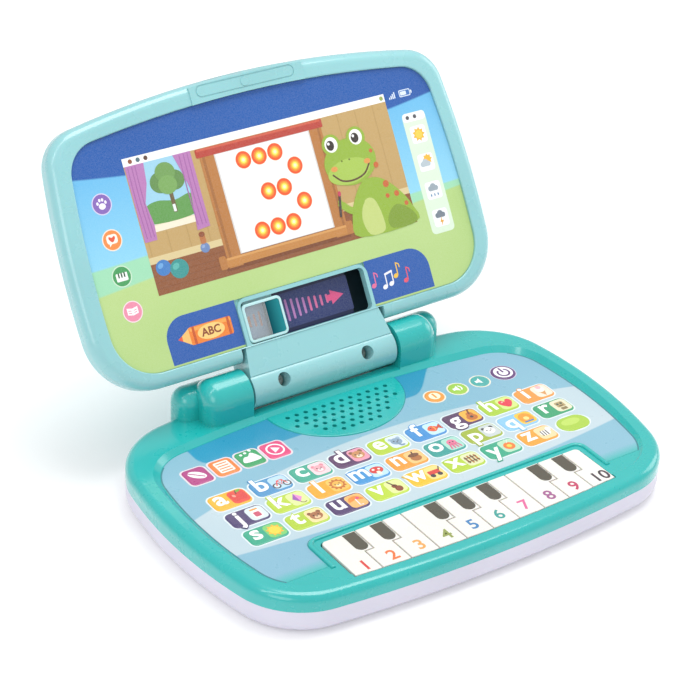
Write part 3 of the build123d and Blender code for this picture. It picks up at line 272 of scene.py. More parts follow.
def deck_print():
    """Blue fields of the keyboard overlay: pale band behind the letters, deep cyan beside the speaker."""
    s = Shader("deck_print")
    x = s.along(Vector((1, 0, 0)), Vector((0, 0, 0)), -LAYOUT_X)
    y = s.along(Vector((0, 1, 0)), Vector((0, 0, 0)), LAYOUT_Y)
    drift = s.spread(s.noise(9.0, 2.0), 0.3, 0.7)
    colour = s.mix(drift, srgb("7DB1C8"), srgb("89BACD"))
    band = s.math("MULTIPLY", s.above(s.curve(x, 4.12, -0.021), y), s.above(y, s.curve(x, 0.33, 0.0085)))
    colour = s.mix(band, colour, s.mix(drift, srgb("B6CCD6"), srgb("C3D4DB")))
    # Deep cyan on the left: a block whose lower left corner is round.
    out_x = s.math("MAXIMUM", s.math("SUBTRACT", -5.15, x), 0.0)
    out_y = s.math("MAXIMUM", s.math("SUBTRACT", 5.8, y), 0.0)
    squares = s.math("ADD", s.math("MULTIPLY", out_x, out_x), s.math("MULTIPLY", out_y, out_y))
    reach = s.math("SQRT", squares)
    left = s.math("MULTIPLY", s.above(0.6, reach), s.above(0.0, x))
    # Deep cyan on the right: its edge climbs to the rim.
    climb = s.node("ShaderNodeMapRange", interpolation_type="SMOOTHSTEP")
    s.put(x, climb.inputs["Value"])
    for key, number in (("From Min", 2.3), ("From Max", 4.3), ("To Min", 5.25), ("To Max", 6.7)):
        climb.inputs[key].default_value = number
    right = s.math("MULTIPLY", s.above(y, climb.outputs["Result"]), s.above(x, 0.0))
    deep = s.math("MAXIMUM", left, right)
    colour = s.mix(deep, colour, s.mix(drift, srgb("008AB2"), srgb("0096BE")))
    fade = s.spread(y, -1.05, -0.62, 1.0, 0.0)
    colour = s.mix(fade, colour, srgb("2FB4B0"))
    return film(s, colour)


def lid_print():
    """Fields of the lid's print panel: title band, sky, hills and grass."""
    s = Shader("lid_print")
    x = s.along(Vector((1, 0, 0)), Vector((0, 0, 0)), -LAYOUT_X)
    v = s.along(UP_LID, foot, 0.0)
    drift = s.spread(s.noise(12.0, 2.0), 0.3, 0.7)
    sky = s.mix(s.spread(v, 5.6, 8.8), srgb("92D5EF"), srgb("68B9E6"))
    wave = s.math("MULTIPLY", s.math("SINE", s.math("MULTIPLY", x, 0.55)), 0.12)
    far = s.math("SUBTRACT", s.math("SUBTRACT", 5.93, wave), s.math("MULTIPLY", x, 0.028))
    near = s.math("SUBTRACT", 5.42, s.math("MULTIPLY", wave, 1.2))
    near = s.math("ADD", near, s.math("MULTIPLY", x, 0.012))
    colour = s.mix(s.above(far, v), sky, srgb("9EDBB4"))
    colour = s.mix(s.above(near, v), colour, s.mix(drift, srgb("AFCF7D"), srgb("BCD68B")))
    band = s.above(v, s.curve(x, 8.42, 0.0108))
    colour = s.mix(band, colour, s.mix(drift, srgb("1053A4"), srgb("145AAC")))
    return film(s, colour, 0.34, 0.1)


def ink():
    """Ink of the printed details, in the colour that each face carries."""
    s = Shader("ink")
    return film(s, s.node("ShaderNodeAttribute", attribute_name="ink").outputs["Color"], 0.3, 0.35)


def lit_ink():
    """Lit spots of the LED screen, seen through the printed paper."""
    s = Shader("lit_ink")
    colour = s.node("ShaderNodeAttribute", attribute_name="ink").outputs["Color"]
    film(s, colour, 0.35, 0.2)
    s.set(Emission_Color=colour, Emission_Strength=0.55)
    return s.material


def window_lens():
    """Clear slider window whose right part is opaque and carries a painted shade, dark to mid teal, for the
    shadowed side of the ring seen through it.
    """
    s = Shader("slider_window")
    low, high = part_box("slider_lens")
    x = s.node("ShaderNodeSeparateXYZ")
    s.links.new(s.place, x.inputs[0])
    cut = low[0] + 0.58 * (high[0] - low[0])
    # Painted shade: right of the cut the lens turns opaque, dark teal near the cut and lighter towards the
    # edge, in place of the ring's shadowed inner side.
    shaded_wall = s.spread(x.outputs["X"], cut - 0.0004, cut + 0.0004)
    tone = s.spread(x.outputs["X"], cut, high[0])
    deep = s.mix(tone, srgb("0E4A55"), srgb("2F8F96"))
    s.set(Base_Color=s.mix(shaded_wall, srgb("F2F8FA"), deep))
    s.set(Transmission_Weight=s.spread(shaded_wall, 0.0, 1.0, 0.8, 0.0))
    s.set(Roughness=s.spread(s.noise(120.0, 2.0), 0.3, 0.7, 0.02, 0.06), IOR=1.05)
    s.bump(s.noise(300.0, 2.0), 0.00001, 0.3)
    return s.material


def rear_shell():
    """Back of the lid: pale aqua outside, with painted shade on the forward-facing faces just behind the
    print panel, standing for the shadowed cavity round the LEDs.
    """
    s = Shader("lid_back_plastic")
    depth = s.along(panel_normal, foot, 0.0)
    facing = s.node("ShaderNodeVectorMath", operation="DOT_PRODUCT")
    s.links.new(s.node("ShaderNodeTexCoord").outputs["Normal"], facing.inputs[0])
    facing.inputs[1].default_value = tuple(panel_normal)
    forward = s.above(facing.outputs["Value"], 0.6, 0.1)
    # Painted shade: faces within INNER_DEPTH behind the panel that face forward are darkened to 1E3038, the
    # shadow in the lid's cavity.
    cavity_shade = s.math("MULTIPLY", s.above(depth, -INNER_DEPTH / UNIT, 0.01), forward)
    flow = s.spread(s.noise(18.0, 3.0), 0.35, 0.65)
    outer = s.mix(flow, shade(srgb("94CED2"), 0.95), srgb("94CED2"))
    s.set(Base_Color=s.mix(cavity_shade, outer, srgb("1E3038")), Coat_Weight=0.4, Coat_Roughness=0.25)
    s.set(Roughness=s.spread(s.noise(60.0, 4.0, 0.6), 0.3, 0.7, 0.27, 0.4))
    s.bump(s.noise(1500.0, 2.0), 0.00004, 0.6)
    return s.material


def board(name):
    """Circuit board: solder resist over faint straight tracks."""
    s = Shader(name)
    wave = s.node("ShaderNodeTexWave", wave_type="BANDS", bands_direction="X")
    s.links.new(s.place, wave.inputs["Vector"])
    wave.inputs["Scale"].default_value = 260.0
    wave.inputs["Distortion"].default_value = 3.0
    track = s.spread(wave.outputs["Fac"], 0.45, 0.55)
    s.set(Base_Color=s.mix(track, srgb("0B4A22"), srgb("18663A")))
    s.set(Roughness=s.spread(track, 0, 1, 0.42, 0.32))
    s.bump(track, 0.00003, 0.6)
    return s.material


def pressed(name, code, scale, depth, roughness=0.85):
    """Matte fibrous or granular stuff: paper, rubber, ferrite."""
    s = Shader(name)
    fibre = s.noise(scale, 5.0, 0.7)
    colour = srgb(code)
    s.set(Base_Color=s.mix(fibre, shade(colour, 0.65), shade(colour, 1.2)))
    s.set(Roughness=s.spread(fibre, 0.3, 0.7, roughness - 0.08, roughness + 0.06))
    s.bump(fibre, depth, 0.8)
    return s.material


def cell_jacket():
    """Shrink sleeve of the cells: dark with a paler band at one end."""
    s = Shader("cell_jacket")
    x = s.node("ShaderNodeSeparateXYZ")
    s.links.new(s.place, x.inputs[0])
    band = s.spread(x.outputs["X"], CELL_BAND_X, CELL_BAND_X + 0.5 * MM)
    colour = s.mix(band, srgb("C9A24A"), srgb("23262E"))
    return film(s, colour, 0.25, 0.5)


# ---- printed shapes -------------------------------------------------------------------------------


def oval(x, y, rx, ry=None, turn=0.0, count=28):
    """Ellipse with its first radius turned by that many degrees."""
    ry = rx if ry is None else ry
    c, s = math.cos(math.radians(turn)), math.sin(math.radians(turn))
    turns = [2 * math.pi * k / count for k in range(count)]
    ring = [(rx * math.cos(t), ry * math.sin(t)) for t in turns]
    return [(x + c * a - s * b, y + s * a + c * b) for a, b in ring]


def panel(x, y, width, height, radius=0.0, count=5):
    """Rounded rectangle about its middle."""
    points = []
    for quarter, (sx, sy) in enumerate(((1, 1), (-1, 1), (-1, -1), (1, -1))):
        cx = x + sx * (width / 2 - radius)
        cy = y + sy * (height / 2 - radius)
        for k in range(count + 1 if radius > 0 else 1):
            angle = math.pi / 2 * (quarter + k / count)
            points.append((cx + radius * math.cos(angle), cy + radius * math.sin(angle)))
    return points


def blend(p, q, r, w, t):
    """Catmull-Rom value between q and r, at share t of the way."""
    bend = (2 * p - 5 * q + 4 * r - w) * t * t + (3 * q - p - 3 * r + w) * t ** 3
    return 0.5 * (2 * q + (r - p) * t + bend)


def smooth(points, closed=True, steps=5):
    """Catmull-Rom curve through the points."""
    n = len(points)
    result = []
    for i in range(n if closed else n - 1):
        if closed:
            a, b, c, d = (points[(i + k) % n] for k in (-1, 0, 1, 2))
        else:
            a, b, c, d = (points[min(max(i + k, 0), n - 1)] for k in (-1, 0, 1, 2))
        for k in range(steps):
            result.append(tuple(blend(*four, k / steps) for four in zip(a, b, c, d)))
    return result if closed else result + [points[-1]]


def stroke(points, width, curved=True):
    """Ribbon with round ends along a line."""
    line = smooth(points, closed=False) if curved and len(points) > 2 else points
    left, right = [], []
    for i, (x, y) in enumerate(line):
        ax, ay = line[max(i - 1, 0)]
        bx, by = line[min(i + 1, len(line) - 1)]
        size = math.hypot(bx - ax, by - ay)
        nx, ny = -(by - ay) / size * width / 2, (bx - ax) / size * width / 2
        left.append((x + nx, y + ny))
        right.append((x - nx, y - ny))

    def cap(centre, start):
        angle = math.atan2(start[1] - centre[1], start[0] - centre[0])
        turns = [angle - math.pi * k / 5 for k in range(1, 5)]
        return [(centre[0] + width / 2 * math.cos(t), centre[1] + width / 2 * math.sin(t)) for t in turns]

    return left + cap(line[-1], left[-1]) + right[::-1] + cap(line[0], right[0])


def star(x, y, outer, inner, count, turn=0.0):
    """Star or sun rays."""
    points = []
    for k in range(2 * count):
        radius = outer if k % 2 == 0 else inner
        angle = math.pi * k / count + math.radians(turn)
        points.append((x + radius * math.cos(angle), y + radius * math.sin(angle)))
    return points


LAYER = 0.02 * MM


class Print:
    """Thin coloured shapes laid over one another on a sheet and gathered into one mesh."""

    def __init__(self, name, sheet, body, finish, material):
        self.name, self.sheet, self.body, self.finish, self.material = name, sheet, body, finish, material
        self.points, self.faces, self.colours = [], [], []
        self.laid = []
        self.lift = 0.0

    def height_over(self, outline):
        """Top of a new layer over everything that its bounds touch."""
        xs, ys = [p[0] for p in outline], [p[1] for p in outline]
        bounds = (min(xs), min(ys), max(xs), max(ys))
        under = [
            h
            for a, b, c, d, h in self.laid
            if a < bounds[2] and c > bounds[0] and b < bounds[3] and d > bounds[1]
        ]
        height = max([self.lift, *under]) + LAYER
        self.laid.append((*bounds, height))
        return height

    def place(self, points, colour, faces):
        """Adds a closed shape given in the sheet's own steps and metres of height."""
        start = len(self.points)
        self.points += [self.sheet @ Vector((x * UNIT, y * UNIT, z)) for x, y, z in points]
        self.faces += [[start + i for i in face] for face in faces]
        self.colours += [srgb(colour)] * len(faces)

    def slab(self, outline, colour):
        """One flat shape."""
        turning = sum(a[0] * b[1] - b[0] * a[1] for a, b in zip(outline, outline[1:] + outline[:1]))
        if turning < 0:
            outline = outline[::-1]
        top, n = self.height_over(outline), len(outline)
        points = [(x, y, -LAYER) for x, y in outline] + [(x, y, top) for x, y in outline]
        faces = [list(range(n))[::-1], list(range(n, 2 * n))]
        faces += [[i, (i + 1) % n, n + (i + 1) % n, n + i] for i in range(n)]
        self.place(points, colour, faces)

    def dome(self, x, y, width, height, radius, colour, raise_mm):
        """Embossed pad with rounded shoulders, which lifts whatever is laid on it."""
        steps = ((0.0, -0.05), (0.0, 0.25), (0.012, 0.6), (0.035, 0.88), (0.07, 1.0))
        rings = [panel(x, y, width - 2 * i, height - 2 * i, radius - i, 5) for i, _ in steps]
        n = len(rings[0])
        heights = [share * raise_mm * MM for _, share in steps]
        points = [(px, py, height) for ring, height in zip(rings, heights) for px, py in ring]
        faces = [list(range(n))[::-1], list(range(n * (len(steps) - 1), n * len(steps)))]
        for level in range(len(steps) - 1):
            base = level * n
            faces += [
                [base + i, base + (i + 1) % n, base + n + (i + 1) % n, base + n + i] for i in range(n)
            ]
        self.place(points, colour, faces)
        self.laid.append((x - width / 2, y - height / 2, x + width / 2, y + height / 2, raise_mm * MM))

    def text(self, words, x, y, size, colour, bold=0.0, turn=0.0):
        """Plain lettering centred on a point."""
        data = bpy.data.curves.new("lettering", "FONT")
        data.body, data.size, data.offset = words, size, bold
        data.align_x, data.align_y = "CENTER", "CENTER"
        data.resolution_u = 3
        carrier = bpy.data.objects.new("lettering", data)
        flat = bpy.data.meshes.new_from_object(carrier)
        tidy = bmesh.new()
        tidy.from_mesh(flat)
        bmesh.ops.remove_doubles(tidy, verts=tidy.verts, dist=0.0005 * size)
        bmesh.ops.dissolve_degenerate(tidy, edges=tidy.edges, dist=0.0005 * size)
        tidy.verts.index_update()
        c, s = math.cos(math.radians(turn)), math.sin(math.radians(turn))
        flat_points = [(x + c * v.co.x - s * v.co.y, y + s * v.co.x + c * v.co.y) for v in tidy.verts]
        top, n = self.height_over(flat_points), len(flat_points)
        faces = []
        for face in tidy.faces:
            ring = [v.index for v in face.verts]
            if face.normal.z < 0:
                ring.reverse()
            faces += [[i + n for i in ring], ring[::-1]]
            for a, b in zip(ring, ring[1:] + ring[:1]):
                edge = next(e for e in face.edges if {v.index for v in e.verts} == {a, b})
                if len(edge.link_faces) == 1:
                    faces.append([a, b, b + n, a + n])
        points = [(px, py, -LAYER) for px, py in flat_points] + [(px, py, top) for px, py in flat_points]
        self.place(points, colour, faces)
        tidy.free()
        bpy.data.objects.remove(carrier)
        bpy.data.curves.remove(data)
        bpy.data.meshes.remove(flat)

    def finish_up(self):
        """Makes the one mesh, coloured face by face, and ties it to its body."""
        mesh = bpy.data.meshes.new(self.name)
        mesh.from_pydata(self.points, [], self.faces)
        layer = mesh.attributes.new("ink", "FLOAT_COLOR", "CORNER")
        for face, colour in zip(mesh.polygons, self.colours):
            for corner in face.loop_indices:
                layer.data[corner].color = colour
        mesh.materials.append(self.material)
        made = bpy.data.objects.new(self.name, mesh)
        scene.collection.objects.link(made)
        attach(made, self.body)


# ---- CAD pieces -----------------------------------------------------------------------------------
teal = moulded("teal_plastic", "1FB6B2", roughness=0.27, coat=0.8)
lower = moulded("lilac_grey_plastic", "DAD7E6", roughness=0.5)
lid_blue = moulded("pale_aqua_plastic", "94CED2", roughness=0.27, coat=0.8)
white_gloss = moulded("ivory_plastic", "F2EFE8", roughness=0.28, coat=0.35, grain=0.00001)
black_gloss = moulded("charcoal_plastic", "565144", roughness=0.3, coat=0.3, grain=0.00001)
ring_blue = moulded("slider_ring_plastic", "BFE8EA", roughness=0.3, coat=0.3)
reflector_white = moulded("reflector_plastic", "D9D8D2", roughness=0.55)
pin_grey = moulded("hinge_pin_plastic", "C8C8C6", roughness=0.35)
chip_black = moulded("chip_plastic", "26262A", roughness=0.55, coat=0.0)
led_clear = moulded("led_plastic", "E2694A", roughness=0.2, coat=0.5, grain=0.000005)
steel = metal("zinc_screw", "B9B7B2", 0.32)
nickel = metal("nickel_contact", "D2CFC6", 0.22, 900.0)
speaker_steel = metal("speaker_frame_steel", "55555A", 0.4, 300.0)
dark_track = moulded("track_plastic", "14204A", roughness=0.3, coat=0.3, grain=0.00001)

dress(teal, "base_top_shell")
dress(lower, "base_bottom_shell", "battery_door")
dress(lid_blue, "lid_front_frame")
dress(rear_shell(), "lid_rear_shell")
dress(white_gloss, *[f"white_key_{k}" for k in range(1, 11)])
dress(black_gloss, *[f"black_key_{k}" for k in range(1, 8)])
dress(ring_blue, "slider_frame")
dress(
    steel, "base_screws", "lid_screws", "hinge_block_screws", "battery_door_screw", "board_screws",
    "key_axle"
)
dress(deck_print(), "keyboard_overlay")
dress(lid_print(), "screen_panel")
dress(window_lens(), "slider_lens")
dress(dark_track, "slider_track_plate")
dress(board("green_board"), "main_circuit_board", "piano_contact_board", "led_board")
dress(chip_black, "board_chips")
dress(nickel, "battery_contacts", "slider_contact")
dress(pressed("membrane_film", "8A9499", 900.0, 0.00001, 0.5), "membrane_circuit")
dress(pressed("dome_rubber", "A9A79E", 1200.0, 0.00002, 0.7), "rubber_dome_strip")
dress(pressed("cone_paper", "2A2A2D", 700.0, 0.00008), "speaker_cone")
dress(pressed("ferrite", "3A3A3E", 1500.0, 0.00004, 0.6), "speaker_magnet")
dress(speaker_steel, "speaker_frame")
dress(cell_jacket(), "batteries")
dress(reflector_white, "led_reflector")
dress(led_clear, "screen_leds")
dress(pin_grey, "hinge_pin_left", "hinge_pin_right")

inked = ink()

# ---- letters on the deck --------------------------------------------------------------------------
PAD_X, PAD_Y, PAD_STEP_X, PAD_STEP_Y = -6.0, 3.3, 1.48, 1.02
LETTERS = {
    "a": ("F0B418", "E8402C"), "b": ("3E8FC4", "B8D9EC"), "c": ("2FA68C", "F3D3DA"),
    "d": ("55275F", "F09CB4"), "e": ("B4CE2C", "DDE8F2"), "f": ("3A8CD0", "C5E6F4"),
    "g": ("54285A", "F0B23C"), "h": ("A9CB2E", "D4E684"), "i": ("F09A3C", "F8E4D0"),
    "j": ("3D2B66", "D9E6EC"), "k": ("B8D234", "DDEB9A"), "l": ("F2A81C", "F8C45C"),
    "m": ("3B93D2", "BFE2F2"), "n": ("F09A26", "F6C67C"), "o": ("2C9C94", "A8DCCB"),
    "p": ("A0B32C", "C9D2D2"), "q": ("8CC6EC", "F2C63C"), "r": ("2E9F6C", "E6E2C2"),
    "s": ("27A684", "7CCB6C"), "t": ("B2CE2E", "F4DCA0"), "u": ("4A2D66", "F6B96C"),
    "v": ("BCD632", "E2EC9C"), "w": ("F4C01C", "F8DC84"), "x": ("B4D032", "E0E4B4"),
    "y": ("2BA682", "B8E0C0"), "z": ("F0A22C", "F7D9A4"),
}


def face(x, y, size, colour, ears=None, muzzle=None):
    """Small round animal head."""
    shapes = []
    if ears:
        shapes += [(oval(x - size * 0.75, y + size * 0.75, size * 0.36, count=12), ears)]
        shapes += [(oval(x + size * 0.75, y + size * 0.75, size * 0.36, count=12), ears)]
    shapes += [(oval(x, y, size, size * 0.92, count=18), colour)]
    if muzzle:
        shapes += [(oval(x, y - size * 0.38, size * 0.5, size * 0.36, count=14), muzzle)]
    for side in (-1, 1):
        shapes += [(oval(x + side * size * 0.4, y + size * 0.15, size * 0.14, count=8), "2A2020")]
    return shapes + [(oval(x, y - size * 0.2, size * 0.16, size * 0.12, count=8), "4A2A22")]


# Pictures of things that start with each letter, about their own middles.
DARK, RED = "3A3038", "E23A2A"
PICTURES = {
    "a": [
        (smooth([
            (0, 0.17), (-0.16, 0.24), (-0.27, 0.06), (-0.18, -0.22), (0, -0.17), (0.18, -0.22),
            (0.27, 0.06), (0.16, 0.24)
        ]), "D92B22"),
        (stroke([(0, 0.16), (0.05, 0.32)], 0.05, False), "6B3A1C"),
        (oval(0.13, 0.28, 0.1, 0.05, 25, 10), "6FAE2E"),
        (oval(-0.12, 0.08, 0.05, 0.08, 20, 10), "F6A08C"),
    ],
    "b": [
        (oval(-0.17, -0.14, 0.14, count=18), DARK),
        (oval(-0.17, -0.14, 0.09, count=18), "D7E8F2"),
        (oval(0.2, -0.14, 0.14, count=18), DARK),
        (oval(0.2, -0.14, 0.09, count=18), "D7E8F2"),
        (stroke([(-0.17, -0.14), (-0.04, 0.1), (0.12, 0.1), (0.2, -0.14)], 0.04, False), RED),
        (stroke([(-0.04, 0.1), (0.02, -0.14), (0.12, 0.1)], 0.035, False), RED),
    ],
    "c": face(0, -0.02, 0.2, "F2A8B4", "E58A9C", "FBE3E6"),
    "d": face(0, 0, 0.22, "C98A5A", "8A5632", "F3DEC4"),
    "e": [
        *face(0, 0, 0.2, "8AA4BC", "9FB8CE"),
        (stroke([(0, -0.1), (0.03, -0.24), (0.13, -0.26)], 0.08), "7A96B0"),
    ],
    "f": [
        (smooth([(-0.24, 0), (-0.05, 0.17), (0.16, 0.03), (0.16, -0.03), (-0.05, -0.17)]), "E8562E"),
        ([(0.1, 0), (0.28, 0.16), (0.28, -0.16)], "C9401E"),
        (oval(-0.1, 0.04, 0.03, count=8), DARK),
        (stroke([(0.01, 0.1), (0.03, 0), (0.01, -0.1)], 0.03), "F7C05A"),
    ],
    "g": [
        (oval(0, -0.1, 0.2, 0.17, count=18), "C46A1E"),
        (oval(0.02, 0.08, 0.13, 0.12, count=16), "C46A1E"),
        (oval(0, -0.07, 0.06, count=12), DARK),
        (stroke([(0.02, 0.1), (0.1, 0.34)], 0.06, False), "7A3E16"),
    ],
    "h": [
        (smooth([
            (0, -0.24), (-0.23, 0.0), (-0.2, 0.18), (-0.08, 0.2), (0, 0.1), (0.08, 0.2), (0.2, 0.18),
            (0.23, 0.0)
        ]), "E33046"),
        (oval(-0.1, 0.1, 0.05, 0.035, 30, 10), "F7A2AC"),
    ],
    "i": [
        ([(-0.14, 0.02), (0, -0.3), (0.14, 0.02)], "D99A54"),
        (oval(0, 0.1, 0.17, count=18), "FBF4E6"),
        (oval(0.02, 0.22, 0.1, count=14), "F6B7C0"),
    ],
    "j": [
        (panel(0, -0.03, 0.32, 0.4, 0.09), "F6FBFC"),
        (panel(0, -0.06, 0.22, 0.24, 0.05), "C94A6A"),
        (panel(0, 0.2, 0.26, 0.08, 0.02), "E8A23A"),
    ],
    "k": [
        ([(0, 0.28), (-0.17, 0.02), (0, -0.2), (0.17, 0.02)], "9C4FB0"),
        ([(0, 0.28), (0, -0.2), (0.17, 0.02)], "E58ACB"),
        (stroke([(0, -0.2), (0.08, -0.27), (0.18, -0.25)], 0.03), "7A5A2A"),
    ],
    "l": [(star(0, 0, 0.3, 0.22, 11), "C4681A"), *face(0, 0, 0.18, "F4B64A", None, "FBE2B0")],
    "m": [
        (oval(0, 0.02, 0.24, 0.18, count=20), "D8342C"),
        (panel(0, -0.15, 0.14, 0.2, 0.05), "F7EBD6"),
        (oval(-0.09, 0.07, 0.05, count=10), "FBEDE6"),
        (oval(0.1, 0.04, 0.045, count=10), "FBEDE6"),
    ],
    "n": [
        (oval(0, -0.06, 0.19, 0.17, count=18), "B06A2A"),
        (oval(0, 0.1, 0.2, 0.1, count=16), "7A4418"),
        (stroke([(0, 0.16), (0.04, 0.28)], 0.05, False), "5A3010"),
    ],
    "o": [
        (oval(0, 0.06, 0.17, count=18), "E67A9C"),
        *[(stroke([(a, 0), (a * 1.5, -0.24)], 0.06, False), "D8648A") for a in (-0.12, -0.04, 0.04, 0.12)],
        (oval(-0.06, 0.08, 0.03, count=8), DARK),
        (oval(0.06, 0.08, 0.03, count=8), DARK),
    ],
    "p": face(0, 0, 0.2, "F4F4F2", "3C3C40", WHITE),
    "q": [
        (smooth([(-0.2, -0.2), (-0.22, 0.12), (0, 0.26), (0.22, 0.12), (0.2, -0.2)]), "E89A1E"),
        (oval(0, -0.04, 0.1, count=12), "FBE08A"),
        (panel(0, -0.22, 0.36, 0.07, 0.03), "3A7CC0"),
    ],
    "r": [
        (panel(0, 0.05, 0.32, 0.3, 0.05), "B9A06A"),
        (panel(0, -0.2, 0.24, 0.14, 0.03), "8E7A4C"),
        (oval(-0.07, 0.09, 0.05, count=10), "2E4A3C"),
        (oval(0.07, 0.09, 0.05, count=10), "2E4A3C"),
        (panel(0, -0.03, 0.18, 0.04, 0.01), "4A3A20"),
    ],
    "s": [(star(0, 0, 0.29, 0.2, 9), "F6B21E"), (oval(0, 0, 0.19, count=18), "FBD43C")],
    "t": face(0, -0.02, 0.21, "A8683A", "8A5028", "E8C79C"),
    "u": [
        (smooth([(-0.25, 0), (-0.16, 0.2), (0.1, 0.22), (0.27, -0.02), (0, 0.04)]), "F08A2A"),
        (stroke([(0.01, 0.06), (-0.01, -0.24), (0.09, -0.26)], 0.04, False), "F4E6F0"),
        (oval(0.1, 0.1, 0.07, 0.06, 0, 10), "E2507A"),
    ],
    "v": [
        (oval(0.04, -0.14, 0.15, 0.13, 60, 16), "8A3E16"),
        (oval(-0.03, 0.02, 0.1, 0.1, 60, 14), "8A3E16"),
        (stroke([(0, 0), (-0.12, 0.3)], 0.05, False), "4A2410"),
    ],
    "w": [
        (panel(0, 0.02, 0.42, 0.2, 0.03), "D8382C"),
        (oval(-0.13, -0.14, 0.09, count=14), DARK),
        (oval(0.13, -0.14, 0.09, count=14), DARK),
        (stroke([(0.2, 0.06), (0.3, 0.22)], 0.04, False), DARK),
    ],
    "x": [
        *[
            (panel(a, 0, 0.07, 0.46 - abs(a) * 0.5, 0.02), c)
            for a, c in ((-0.18, "8A5A2A"), (-0.06, "B8782E"), (0.06, "8A5A2A"), (0.18, "B8782E"))
        ],
        (panel(0, 0.1, 0.46, 0.04, 0.01), "5A4426"),
        (panel(0, -0.1, 0.46, 0.04, 0.01), "5A4426"),
    ],
    "y": [
        (oval(0, -0.02, 0.2, count=18), "F07A24"),
        (oval(0, -0.02, 0.09, count=14), "FBD24A"),
        (stroke([(0.03, 0.16), (0.1, 0.28), (0.04, 0.34)], 0.03), "D7E8E0"),
    ],
    "z": [
        (oval(0, -0.02, 0.2, 0.15, 0, 18), "F6F4F0"),
        (oval(0.2, 0.12, 0.1, 0.13, -30, 14), "F6F4F0"),
        *[(stroke([(a, 0.11), (a - 0.02, -0.14)], 0.04, False), "55504C") for a in (-0.12, -0.02, 0.08)],
    ],
}

deck = Print("deck_pictures", DECK_SHEET, "base", "print_sheet", inked)
for order, (letter, (tile, ground)) in enumerate(LETTERS.items()):
    row, column = divmod(order, 9)
    x, y = PAD_X + PAD_STEP_X * column, PAD_Y - PAD_STEP_Y * row
    deck.slab(panel(x, y, 1.40, 0.90, 0.24), "E4EEF2")
    deck.dome(x, y, 1.30, 0.80, 0.2, tile, 0.45)
    middle = x + 0.31
    deck.slab(panel(middle, y, 0.60, 0.66, 0.15), ground)
    for outline, colour in PICTURES[letter]:
        deck.slab([(middle + a, y + b) for a, b in outline], colour)
    lift = {"p": -0.1, "q": -0.1, "y": -0.1, "g": -0.08, "j": -0.06}.get(letter, 0.06)
    deck.text(letter, x - 0.30, y + 0.08 + lift, 0.94, tile, 0.05)
    deck.text(letter, x - 0.30, y + 0.08 + lift, 0.94, WHITE, 0.022)
x, y = PAD_X + PAD_STEP_X * 8, PAD_Y - PAD_STEP_Y * 2
deck.slab(oval(x, y, 0.66, 0.46, 0, 36), "E4EEF2")
deck.dome(x, y, 1.18, 0.78, 0.385, "A9CC3A", 0.45)
deck.slab(oval(x - 0.05, y + 0.08, 0.36, 0.18, 0, 28), "BEDB5C")

# Shadow gap along both sides of the overlay, from its own outline.
overlay = NODES["keyboard_overlay"]
rim = [overlay.matrix_world @ v.co for v in overlay.data.vertices]
upper_rim = [p for p in rim if p.z > DECK_TOP - 1e-5 and p.y < STRAIGHT_END_Y]
for side in (-1, 1):
    edge = sorted({(round(p.y, 5), round(p.x, 5)) for p in upper_rim if side * p.x > 0.1})
    path = []
    for y, x in edge:
        point = (x / UNIT - LAYOUT_X - side * 0.02, y / UNIT + LAYOUT_Y)
        if not path or math.dist(point, path[-1]) > 0.04:
            path.append(point)
    deck.slab(stroke(path, 0.05, False), "1C7C86")

# Mode icons at the rear left.
MODES = ((-6.18, "B02A7C"), (-5.22, "F0802C"), (-4.26, "2F9E5C"), (-3.33, "E5407C"))
for x, colour in MODES:
    deck.slab(panel(x, 4.9, 0.92, 0.96, 0.2), "E9DCE2")
    deck.dome(x, 4.9, 0.80, 0.85, 0.16, colour, 0.4)
deck.slab(oval(-6.18, 4.93, 0.31, 0.17, -42, 26), WHITE)
deck.slab(stroke([(-6.42, 5.14), (-6.0, 4.76)], 0.05, False), "B02A7C")
deck.slab(panel(-5.22, 4.9, 0.52, 0.60, 0.06), "FFF6EA")
for k in range(4):
    deck.slab(panel(-5.22, 5.1 - 0.135 * k, 0.40, 0.05, 0.02), "F0802C")
hill = smooth([(-4.55, 4.72), (-4.45, 4.98), (-4.28, 5.0), (-4.12, 5.14), (-3.97, 4.9), (-3.98, 4.7)])
deck.slab(hill, WHITE)
for x, y in ((-4.45, 5.16), (-4.28, 5.2), (-4.08, 5.26)):
    deck.slab(oval(x, y, 0.055, count=10), WHITE)
deck.slab(oval(-3.33, 4.9, 0.31, count=28), WHITE)
deck.slab(oval(-3.33, 4.9, 0.25, count=28), "E5407C")
deck.slab([(-3.42, 5.06), (-3.42, 4.74), (-3.16, 4.9)], WHITE)

# Round buttons at the rear right.
BUTTONS = ((2.89, 4.86, 0.336, "F0962C"), (3.84, 4.85, 0.328, "9CC83A"), (4.77, 4.855, 0.322, "3FA8A2"))
for x, y, radius, colour in BUTTONS:
    deck.slab(oval(x, y, radius + 0.05, count=32), "EFE9D6")
    deck.dome(x, y, 2 * radius, 2 * radius, radius, colour, 0.4)
deck.slab(oval(2.89, 4.86, 0.20, count=24), "FFF0D0")
deck.text("1", 2.89, 4.86, 0.34, "F0962C", 0.02)
for x, y, loud in ((3.80, 4.85, True), (4.73, 4.855, False)):
    deck.slab([(x - 0.15, y - 0.06), (x - 0.05, y - 0.06), (x + 0.06, y - 0.16), (x + 0.06, y + 0.16),
               (x - 0.05, y + 0.06), (x - 0.15, y + 0.06)], WHITE)
    if loud:
        deck.slab(stroke([(x + 0.13, y + 0.12), (x + 0.18, y), (x + 0.13, y - 0.12)], 0.045), WHITE)
x, y = 5.775, 4.887
deck.slab(oval(x, y, 0.455, count=36), "D9CFE2")
deck.dome(x, y, 0.86, 0.86, 0.43, "5B2C70", 0.45)
deck.slab(oval(x, y, 0.335, count=36), "FBF9FC")
turns = [math.radians(a) for a in range(40, 321, 20)]
